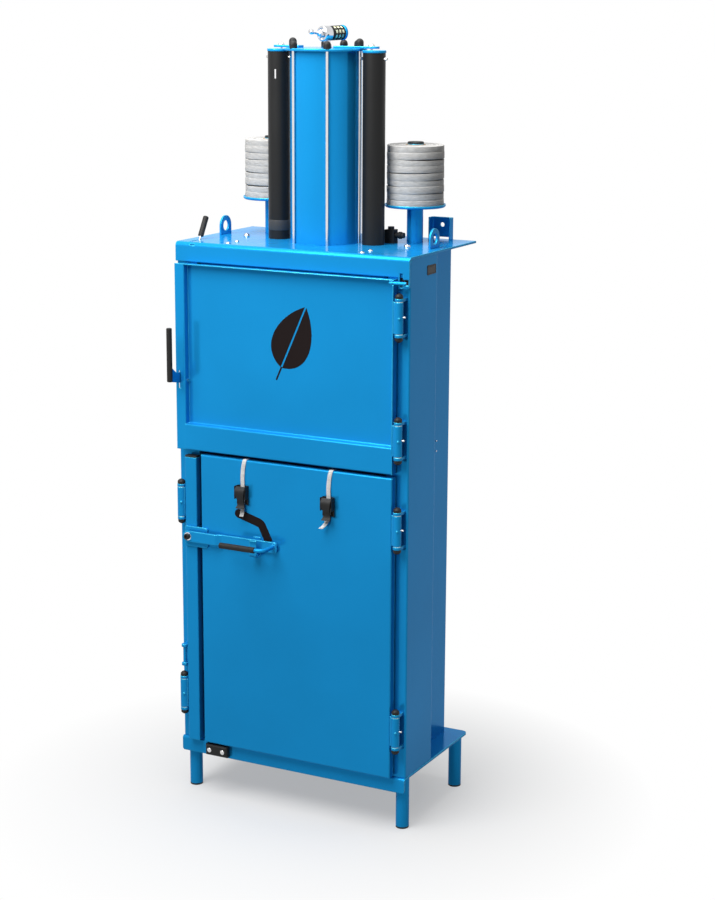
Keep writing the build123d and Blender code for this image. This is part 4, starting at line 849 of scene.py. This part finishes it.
def block(middle, size):
    """A block of a size in metres round its middle, ready to be shaped."""
    bpy.ops.mesh.primitive_cube_add(size=1.0, location=middle)
    piece = bpy.context.object
    piece.scale = size
    settle(piece)
    return piece


def round_corners(piece, axis, radius, segments):
    """Rounds a block's four edges that run along an axis."""
    mark_edges(piece, lambda a, b: abs(a[axis] - b[axis]) > LEAST_EDGE * MM)
    bpy.ops.mesh.bevel(offset=radius * MM, segments=segments, affect="EDGES")
    leave_edit()


def thicken(piece, thickness, offset, edge=0.0, segments=1):
    """Gives a sheet its wall, and soft edges where a width is given for them."""
    wall = piece.modifiers.new("wall", "SOLIDIFY")
    wall.thickness = thickness * MM
    wall.offset = offset
    if edge:
        soft = piece.modifiers.new("soft", "BEVEL")
        soft.width = edge * MM
        soft.segments = segments
        soft.limit_method = "ANGLE"
    only(piece)
    for modifier in list(piece.modifiers):
        bpy.ops.object.modifier_apply(modifier=modifier.name)


# Strapping rolls


def wound_roll(side):
    """The roll's turns of strapping, each leaning a little, with ridges on the top one."""
    node = "strapping_roll_" + side
    low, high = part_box(node)
    middle = ((low.x + high.x) / 2, (low.y + high.y) / 2)
    pitch = (high.z - low.z - TURN_CLEARANCE * MM) / TURNS
    start = low.z + TURN_CLEARANCE * MM
    outer = ROLL_RADIUS * MM
    inner = CORE_OUTER * MM
    first = ring(
        middle, outer, inner, start, start + pitch * TURN_OVERLAP, TURN_EDGE * MM, TURN_SIDES
    )
    turns = [first] + [copied(first) for level in range(1, TURNS)]
    mark_faces(turns[-1], top_face)
    for ridge in range(TOP_RIDGES):
        depth = RIDGE_DEPTH if ridge % 2 else -RIDGE_DEPTH
        bpy.ops.mesh.inset(thickness=RIDGE_WIDTH * MM, depth=depth * MM)
    leave_edit()
    for level, turn in enumerate(turns):
        lean = math.radians(TURN_LEAN) * (END_TURN_SHARE if level in (0, TURNS - 1) else 1.0)
        wave = LEAN_WAVE * level + (0.0 if side == "left" else RIGHT_ROLL_WAVE)
        turn.location.z += pitch * level
        turn.rotation_euler = (
            lean * math.sin(wave), lean * math.cos(LEAN_WAVE_ACROSS * wave), TURN_STEP * level,
        )
        grow = 1.0 + GROWTH * math.sin(GROWTH_WAVE * level + GROWTH_START)
        turn.scale = (grow, grow, 1.0)
    for turn in turns:
        settle(turn)
    roll = joined(turns)
    material = roll_webbing("wound_strapping_" + side, middle)
    ready(
        roll, "wound_strapping_" + side, "roll_" + side, material, smooth=50.0
    )
    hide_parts(node)
    core = ring(
        middle, inner - CORE_PLAY * MM, CORE_INNER * MM, low.z, high.z + CORE_STANDS_OUT * MM,
        CORE_EDGE * MM,
    )
    ready(core, "card_core_" + side, "roll_" + side, card)


for roll_side in ("left", "right"):
    wound_roll(roll_side)


# Exhaust silencer on the cylinder cap


def silencer_body(along):
    """The chrome body with its sunk face, the nut and hose nipple in it, and the foot under it."""
    body = disc_bar(SILENCER_RADIUS, 0, CAGE_START, SILENCER_EDGE)
    mark_faces(body, bottom_face)
    bpy.ops.mesh.inset(thickness=FACE_RIM * MM)
    bpy.ops.mesh.inset(thickness=FACE_STEP * MM, depth=-FACE_SUNK * MM)
    leave_edit()
    nut = disc_bar(*FACE_NUT, NUT_SIDES)
    nipple = stepped_bar(NIPPLE_STEPS, sides=32)
    cap = CAP_TOP - SILENCER_AT[2]
    foot = disc_bar(FOOT_RADIUS, cap, FOOT_TOP, FOOT_EDGE)
    foot_nut = disc_bar(FOOT_NUT_RADIUS, cap, cap + FOOT_NUT_HEIGHT, FOOT_NUT_EDGE, NUT_SIDES)
    body.matrix_world = along
    for piece in (nut, nipple):
        piece.matrix_world = along @ turned(-NIPPLE_TILT, "X")
    for piece in (foot, foot_nut):
        piece.matrix_world = Matrix.Translation(at(*SILENCER_AT))
    pieces = [body, nut, nipple, foot, foot_nut]
    for piece in pieces:
        settle(piece)
    whole = joined(pieces)
    ready(whole, "silencer_body", "frame", chrome, smooth=30.0)
    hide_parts("exhaust_silencer")


def silencer_cage(along):
    """The black cage: a tube cut at its windows' ends, opened there, then thickened."""
    sides = WINDOW_COLUMNS * CAGE_FACETS
    bpy.ops.mesh.primitive_cylinder_add(
        vertices=sides, radius=CAGE_RADIUS * MM, depth=(CAGE_END - CAGE_START) * MM,
        location=(0, 0, (CAGE_START + CAGE_END) / 2 * MM), end_fill_type="NOTHING",
    )
    cage = bpy.context.object
    settle(cage)
    for row in WINDOW_ROWS:
        for height in row:
            only(cage)
            bpy.ops.object.mode_set(mode="EDIT")
            bpy.ops.mesh.select_all(action="SELECT")
            bpy.ops.mesh.bisect(plane_co=(0, 0, height * MM), plane_no=(0, 0, 1))
            bpy.ops.object.mode_set(mode="OBJECT")

    def in_window(centre, normal):
        bearing = math.degrees(math.atan2(centre.y, centre.x)) % 360.0
        facet = int(bearing * sides / 360.0) % CAGE_FACETS
        in_row = any(low * MM < centre.z < high * MM for low, high in WINDOW_ROWS)
        return in_row and facet not in WINDOW_BARS

    mark_faces(cage, in_window)
    bpy.ops.mesh.delete(type="FACE")
    leave_edit()
    face_out(cage)
    thicken(cage, CAGE_SHEET, -1.0, CAGE_EDGE)
    cage.matrix_world = along
    ready(cage, "silencer_cage", "frame", black_plastic, smooth=30.0)


def silencer_felt(along):
    """The felt that shows through the cage's windows."""
    pad = disc_bar(FELT_RADIUS, CAGE_START + 1, CAGE_END - 1, FELT_EDGE)
    pad.matrix_world = along
    ready(pad, "silencer_felt", "frame", felt)


def silencer_end_ring(along):
    """The blue ring that closes the cage's end."""
    end = disc_bar(SILENCER_RADIUS, CAGE_END, RING_END, RING_EDGE)
    mark_faces(end, top_face)
    bpy.ops.mesh.inset(thickness=RING_RIM * MM)
    bpy.ops.mesh.inset(thickness=RING_STEP * MM, depth=-RING_SUNK * MM)
    leave_edit()
    end.matrix_world = along
    ready(end, "silencer_end_ring", "frame", blue_paint)


def silencer():
    """The silencer, modelled along Z from its front face, then laid over and turned."""
    place = Matrix.Translation(at(*SILENCER_AT)) @ turned(-SILENCER_TURN, "Z")
    lay = place @ turned(SILENCER_TILT - 90, "X")
    along = lay @ Matrix.Translation((0, 0, -SILENCER_FRONT * MM))
    silencer_body(along)
    silencer_cage(along)
    silencer_felt(along)
    silencer_end_ring(along)


silencer()


# Strapping through the two buckles


def strap(x, name, path, material):
    """A strip of webbing: a flat strip's end edge is extruded along the path, then thickened."""
    points = [at(x + aside, y, z) for aside, y, z in path]
    start, second = points[:2]
    half = Vector((STRAP_WIDTH * MM / 2, 0, 0))
    bpy.ops.mesh.primitive_plane_add(size=1.0, location=(0, 0, 0))
    strip = bpy.context.object
    corners = (start - half, start + half, second - half, second + half)
    for vertex, corner in zip(strip.data.vertices, corners):
        vertex.co = corner

    def at_second(*ends):
        return all((end - second).length < STRAP_WIDTH * MM for end in ends)

    mark_edges(strip, at_second)
    for last, new in zip(points[1:-1], points[2:]):
        bpy.ops.mesh.extrude_region_move(TRANSFORM_OT_translate={"value": tuple(new - last)})
    leave_edit()
    thicken(strip, STRAP_THICK, 0.0, STRAP_EDGE, segments=2)
    face_out(strip)
    return ready(strip, name, "lower_door", material, smooth=60.0)


def over_door():
    """The strap's way from its groove inside, over the door's top and down its face."""
    lean = STRAP_LEAN
    return (
        (lean, 0.9, 700.0), (lean, 0.9, 860.0), (lean, 0.9, 1000.0), (lean, 0.6, 1027.0),
        (lean, -1.0, 1030.4), (lean, -3.5, 1031.3), (lean, -17.0, 1031.4),
        (lean * 0.94, -20.5, 1030.6), (lean * 0.84, -22.0, 1027.5), (lean * 0.42, -22.6, 1015.0),
        (lean * 0.06, -22.9, 1000.0), (lean * -0.12, -23.3, 985.0), (lean * -0.1, -23.7, 970.0),
        (0.0, -24.0, 957.0), (0.0, -24.0, 930.0), (0.0, -24.1, 903.0),
    )


strap_weave = buckle_webbing("buckle_strapping")
left_strap = strap(BUCKLES[0], "strapping_left", over_door() + LEFT_TAIL, strap_weave)
strap(BUCKLES[1], "strapping_right", over_door() + RIGHT_TAIL, strap_weave)
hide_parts("strapping_in_buckles")


# Films on the doors, band on the guide tube, side plate and small fittings


def leaf_half(side):
    """Half of the leaf: a closed curve between its foot and tip, filled and made a mesh."""

    def on_leaf(aside, along):
        return Vector((aside, along, 0)) * MM

    outline = bpy.data.curves.new("leaf_half", "CURVE")
    outline.dimensions = "2D"
    outline.fill_mode = "BOTH"
    outline.extrude = FILM * MM / 2
    spline = outline.splines.new("BEZIER")
    spline.bezier_points.add(1)
    spline.use_cyclic_u = True
    spline.resolution_u = LEAF_STEPS
    gap = LEAF_GAP * side
    low_spine, high_spine = LEAF_SPINE_HANDLES
    foot_aside, foot_along = LEAF_FOOT_HANDLE
    tip_aside, tip_along = LEAF_TIP_HANDLE
    foot, tip = spline.bezier_points
    foot.co = on_leaf(gap, 0)
    tip.co = on_leaf(gap, LEAF_LENGTH)
    foot.handle_left = on_leaf(gap, LEAF_LENGTH * low_spine)
    tip.handle_right = on_leaf(gap, LEAF_LENGTH * high_spine)
    foot.handle_right = on_leaf(LEAF_HALF * foot_aside * side, LEAF_LENGTH * foot_along)
    tip.handle_left = on_leaf(LEAF_HALF * tip_aside * side, LEAF_LENGTH * tip_along)
    half = bpy.data.objects.new("leaf_half", outline)
    bpy.context.collection.objects.link(half)
    only(half)
    bpy.ops.object.convert(target="MESH")
    return bpy.context.object


def leaf():
    """A plain leaf in two halves with its stem, cut from film, on the upper door's panel."""
    halves = [leaf_half(-1), leaf_half(1)]
    stem = block((0, STEM_MIDDLE * MM, 0), (STEM_WIDTH * MM, STEM_LENGTH * MM, FILM * MM))
    round_corners(stem, ALONG_Z, STEM_ROUND, segments=5)
    whole = joined(halves + [stem])
    centre = Matrix.Translation((0, -LEAF_LENGTH * LEAF_PIVOT * MM, 0))
    place = Matrix.Translation(at(LEAF_MIDDLE[0], PANEL_FACE - FILM / 2, LEAF_MIDDLE[1]))
    whole.matrix_world = place @ turned(90, "X") @ turned(LEAF_LEAN, "Z") @ centre
    settle(whole)
    bpy.ops.object.mode_set(mode="EDIT")
    bpy.ops.mesh.select_all(action="SELECT")
    bpy.ops.mesh.remove_doubles(threshold=MERGE_WITHIN)
    face_out(whole)
    ready(whole, "leaf_emblem", "upper_door", film_black, smooth=20.0)


def guide_stripe():
    """The dark bent stripe on the lower door: a strip spun round its corner, with one round end."""
    start, corner, end = (Vector(point) for point in (STRIPE_START, STRIPE_CORNER, STRIPE_END))
    first = (corner - start).normalized()
    second = (end - corner).normalized()
    turn = first.angle(second)
    back = STRIPE_BEND * math.tan(turn / 2)
    length = (corner - start).length - back + STRIPE_WIDTH / 2
    far = length * MM
    bpy.ops.mesh.primitive_plane_add(size=1.0, location=(far / 2, 0, 0))
    strip = bpy.context.object
    strip.scale = (far, STRIPE_WIDTH * MM, 1.0)
    settle(strip)
    mark_edges(strip, lambda a, b: min(a.x, b.x) > far / 2)
    bend_middle = (far, -STRIPE_BEND * MM, 0)
    bpy.ops.mesh.spin(steps=STRIPE_BEND_STEPS, angle=turn, center=bend_middle, axis=(0, 0, 1))
    run = (end - corner).length - back
    step = Vector((math.cos(-turn), math.sin(-turn), 0)) * run * MM
    bpy.ops.mesh.extrude_region_move(TRANSFORM_OT_translate={"value": tuple(step)})
    mark_points(strip, lambda point: point.x < LEAST_EDGE * MM)
    rounding = STRIPE_WIDTH / 2 * MM * STRIPE_ROUNDING
    bpy.ops.mesh.bevel(offset=rounding, segments=8, affect="VERTICES")
    leave_edit()
    thicken(strip, FILM, 0.0)
    face_out(strip)
    angle = math.atan2(first.y, first.x)
    left = start - first * STRIPE_WIDTH / 2
    place = Matrix.Translation(at(left.x, DOOR_FACE - FILM / 2, left.y))
    strip.matrix_world = place @ turned(90, "X") @ Matrix.Rotation(angle, 4, "Z")
    ready(strip, "door_stripe", "lower_door", film_black, smooth=20.0)


def tube_band():
    """The bare grey band round the foot of the left guide tube."""
    low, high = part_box("guide_tube_left")
    middle = ((low.x + high.x) / 2, (low.y + high.y) / 2)
    radius = (high.x - low.x) / 2
    band = ring(
        middle, radius + BAND_PROUD * MM, radius - BAND_SUNK * MM, BAND_LOW * MM, BAND_HIGH * MM,
        BAND_EDGE * MM,
    )
    ready(band, "tube_band", "frame", film_grey)


def side_plate():
    """The bare plate on the right side: a dark rim round a grey field."""
    plate = block(at(*PLATE_AT), [length * MM for length in PLATE_SIZE])
    round_corners(plate, ALONG_X, PLATE_CORNER, segments=4)
    mark_faces(plate, lambda centre, normal: normal.x > OUTWARD)
    bpy.ops.mesh.inset(thickness=PLATE_RIM * MM)
    bpy.ops.mesh.inset(thickness=PLATE_STEP * MM, depth=-PLATE_STEP * MM)
    ready(plate, "side_plate_rim", "frame", black_plastic)
    field = block(at(*PLATE_AT), [length * MM for length in FIELD_SIZE])
    round_corners(field, ALONG_X, FIELD_CORNER, segments=3)
    ready(field, "side_plate_field", "frame", film_grey)


def small_screws():
    """Screws in the sides of the guide tubes and two rivets on the chamber's side."""
    head = stepped_bar(SCREW_STEPS, sides=24)
    heads = []
    for middle in TUBE_MIDDLES:
        for side in (-1, 1):
            screw = copied(head)
            place = Matrix.Translation(at(middle + side * SCREW_ASIDE, SCREW_Y, SCREW_HEIGHT))
            screw.matrix_world = place @ turned(90 * side, "Y")
            heads.append(screw)
    for height in RIVET_HEIGHTS:
        rivet = copied(head)
        place = Matrix.Translation(at(RIVET_X, RIVET_Y, height))
        rivet.matrix_world = place @ turned(90, "Y") @ Matrix.Scale(RIVET_SCALE, 4)
        heads.append(rivet)
    for screw in heads:
        settle(screw)
    bpy.data.objects.remove(head)
    whole = joined(heads)
    face_out(whole)
    ready(whole, "side_screws", "frame", zinc_steel, smooth=30.0)


def grease_nipples(name, body, heights):
    """Bright grease nipples on the outer side of a door's hinge barrels."""
    nipple = stepped_bar(GREASE_NIPPLE_STEPS, sides=20)
    nipples = []
    for height in heights:
        twin = copied(nipple)
        centre = at(HINGE_X + BARREL_RADIUS, HINGE_Y, height + NIPPLE_RISE)
        twin.matrix_world = Matrix.Translation(centre) @ turned(90, "Y")
        settle(twin)
        nipples.append(twin)
    bpy.data.objects.remove(nipple)
    whole = joined(nipples)
    face_out(whole)
    ready(whole, name, body, zinc_steel, smooth=30.0)


def cap_plug():
    """The dark domed plug at the back of the cylinder cap."""
    plug = stepped_bar(CAP_PLUG_STEPS, sides=40)
    plug.location = at(0.0, CAP_PLUG_Y, CAP_TOP)
    ready(plug, "cap_plug", "frame", blackened_steel, smooth=60.0)


def bar_plug():
    """The dark plug in the lock bar's open top."""
    low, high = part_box("lock_bar")
    height = PLUG_HEIGHT * MM
    middle = ((low.x + high.x) / 2, (low.y + high.y) / 2, high.z + height / 2 - PLUG_SUNK * MM)
    play = PLUG_PLAY * MM
    plug = block(middle, (high.x - low.x - play, high.y - low.y - play, height))
    round_corners(plug, ALONG_Z, PLUG_CORNER, segments=5)
    soften_rim(plug, top_face, PLUG_EDGE * MM)
    ready(plug, "lock_bar_plug", "lock_bar", black_plastic)


def pivot_washer():
    """The bright washer under the head of the lock's pivot bolt."""
    low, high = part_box("lock_pivot_bolt")
    head = (high.x - low.x) / 2 - SPACER_WIDER * MM
    washer = ring(
        (0, 0), head + WASHER_OUTSIDE * MM, head + WASHER_PLAY * MM, 0.0, WASHER_THICK * MM,
        WASHER_EDGE * MM, WASHER_SIDES,
    )
    middle = ((low.x + high.x) / 2, low.y + WASHER_SEAT * MM, (low.z + high.z) / 2)
    washer.matrix_world = Matrix.Translation(middle) @ turned(90, "X")
    ready(washer, "lock_pivot_washer", "lower_door", rod_steel, smooth=30.0)


leaf()
guide_stripe()
bar_plug()
pivot_washer()
grease_nipples("upper_grease_nipples", "upper_door", UPPER_HINGES)
grease_nipples("lower_grease_nipples", "lower_door", LOWER_HINGES)
cap_plug()
tube_band()
side_plate()
small_screws()


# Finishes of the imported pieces

BY_SLOT = {
    "body_paint": blue_paint,
    "black_tube_paint": black_paint,
    "bright_steel": zinc_steel,
    "machined_aluminium": aluminium,
    "polished_chrome": chrome,
    "black_plastic": black_plastic,
    "black_grip": grip_rubber,
    "black_steel": blackened_steel,
    "woven_strapping": strap_weave,
}
BY_NODE = {"tie_rods": rod_steel, "interlock_valve": black_plastic}
for name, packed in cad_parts.items():
    for place_in in packed.material_slots:
        place_in.material = BY_NODE.get(name, BY_SLOT[place_in.material.name.split(".")[0]])


# Floor, light and camera


def seen_by_eye(tree):
    """One for rays from the camera, and for what gloss and glass show of them; else zero."""
    rays = add_node(tree, "ShaderNodeLightPath")
    seen = maths(tree, "ADD", rays.outputs["Is Camera Ray"], rays.outputs["Is Glossy Ray"])
    return maths(tree, "ADD", seen, rays.outputs["Is Transmission Ray"], clamp=True)


def floor():
    """A pale floor that shows the shadow near the machine and is white to the eye beyond it."""
    bpy.ops.mesh.primitive_plane_add(size=FLOOR_SIZE, location=(0, 0, -FLOOR_DROP))
    ground = bpy.context.object
    ground.name = "floor"
    material = bpy.data.materials.new("pale_floor")
    material.use_nodes = True
    tree = material.node_tree
    shader = tree.nodes["Principled BSDF"]
    shader.inputs["Roughness"].default_value = FLOOR_ROUGHNESS
    shader.inputs["Specular IOR Level"].default_value = 0.0
    white = add_node(tree, "ShaderNodeEmission")
    seen = seen_by_eye(tree)
    link(tree, blend_colour(tree, seen, FLOOR_DULL, FLOOR_PALE), shader.inputs["Base Color"])
    place = add_node(tree, "ShaderNodeTexCoord").outputs["Object"]
    reach = add_node(tree, "ShaderNodeVectorMath", operation="LENGTH")
    link(tree, place, reach.inputs[0])
    away = span(tree, reach.outputs["Value"], SHADOW_START, SHADOW_END, SHADOW_VEIL, 1.0)
    mix = add_node(tree, "ShaderNodeMixShader")
    link(tree, maths(tree, "MULTIPLY", seen, away), mix.inputs[0])
    link(tree, shader.outputs["BSDF"], mix.inputs[1])
    link(tree, white.outputs["Emission"], mix.inputs[2])
    link(tree, mix.outputs["Shader"], tree.nodes["Material Output"].inputs["Surface"])
    ground.data.materials.append(material)


def lamp(name, place, aim, size, power):
    """A square softbox that looks from its place at its aim, in metres and watts."""
    data = bpy.data.lights.new(name, "AREA")
    data.shape = "RECTANGLE"
    data.size = size
    data.size_y = size
    data.energy = power
    light = bpy.data.objects.new(name, data)
    bpy.context.collection.objects.link(light)
    light.location = place
    light.rotation_euler = (Vector(aim) - Vector(place)).to_track_quat("-Z", "Y").to_euler()


def sky():
    """A white sky to the eye, and a dim even one for the light that it gives."""
    world = bpy.data.worlds.new("studio")
    bpy.context.scene.world = world
    world.use_nodes = True
    tree = world.node_tree
    background = tree.nodes["Background"]
    strength = span(tree, seen_by_eye(tree), 0.0, 1.0, SKY_LEVEL, 1.0)
    link(tree, strength, background.inputs["Strength"])
    background.inputs["Color"].default_value = (1.0, 1.0, 1.0, 1.0)


def photo_camera():
    """The camera at the photograph's place and angle."""
    yaw, pitch, roll = (math.radians(angle) for angle in (YAW, PITCH, ROLL))
    flat = math.cos(pitch)
    forward = Vector((-math.sin(yaw) * flat, math.cos(yaw) * flat, -math.sin(pitch)))
    level = Vector((math.cos(yaw), math.sin(yaw), 0.0))
    upward = level.cross(forward)
    right = level * math.cos(roll) + upward * math.sin(roll)
    up = upward * math.cos(roll) - level * math.sin(roll)
    data = bpy.data.cameras.new("photo_camera")
    data.lens = LENS
    data.sensor_width = SENSOR
    data.clip_end = SEES_TO
    camera = bpy.data.objects.new("photo_camera", data)
    bpy.context.collection.objects.link(camera)
    axes = Matrix((right, up, -forward)).transposed().to_4x4()
    camera.matrix_world = Matrix.Translation(at(*EYE_POINT)) @ axes
    bpy.context.scene.camera = camera


floor()
sky()
lamp("key_softbox", place=(-0.6, -2.1, 3.5), aim=(0.0, -0.2, 1.75), size=2.0, power=103.0)
lamp("top_softbox", place=(-0.15, -0.45, 4.1), aim=(0.0, 0.0, 1.6), size=2.2, power=92.0)
photo_camera()
bpy.context.scene.view_settings.view_transform = "Standard"
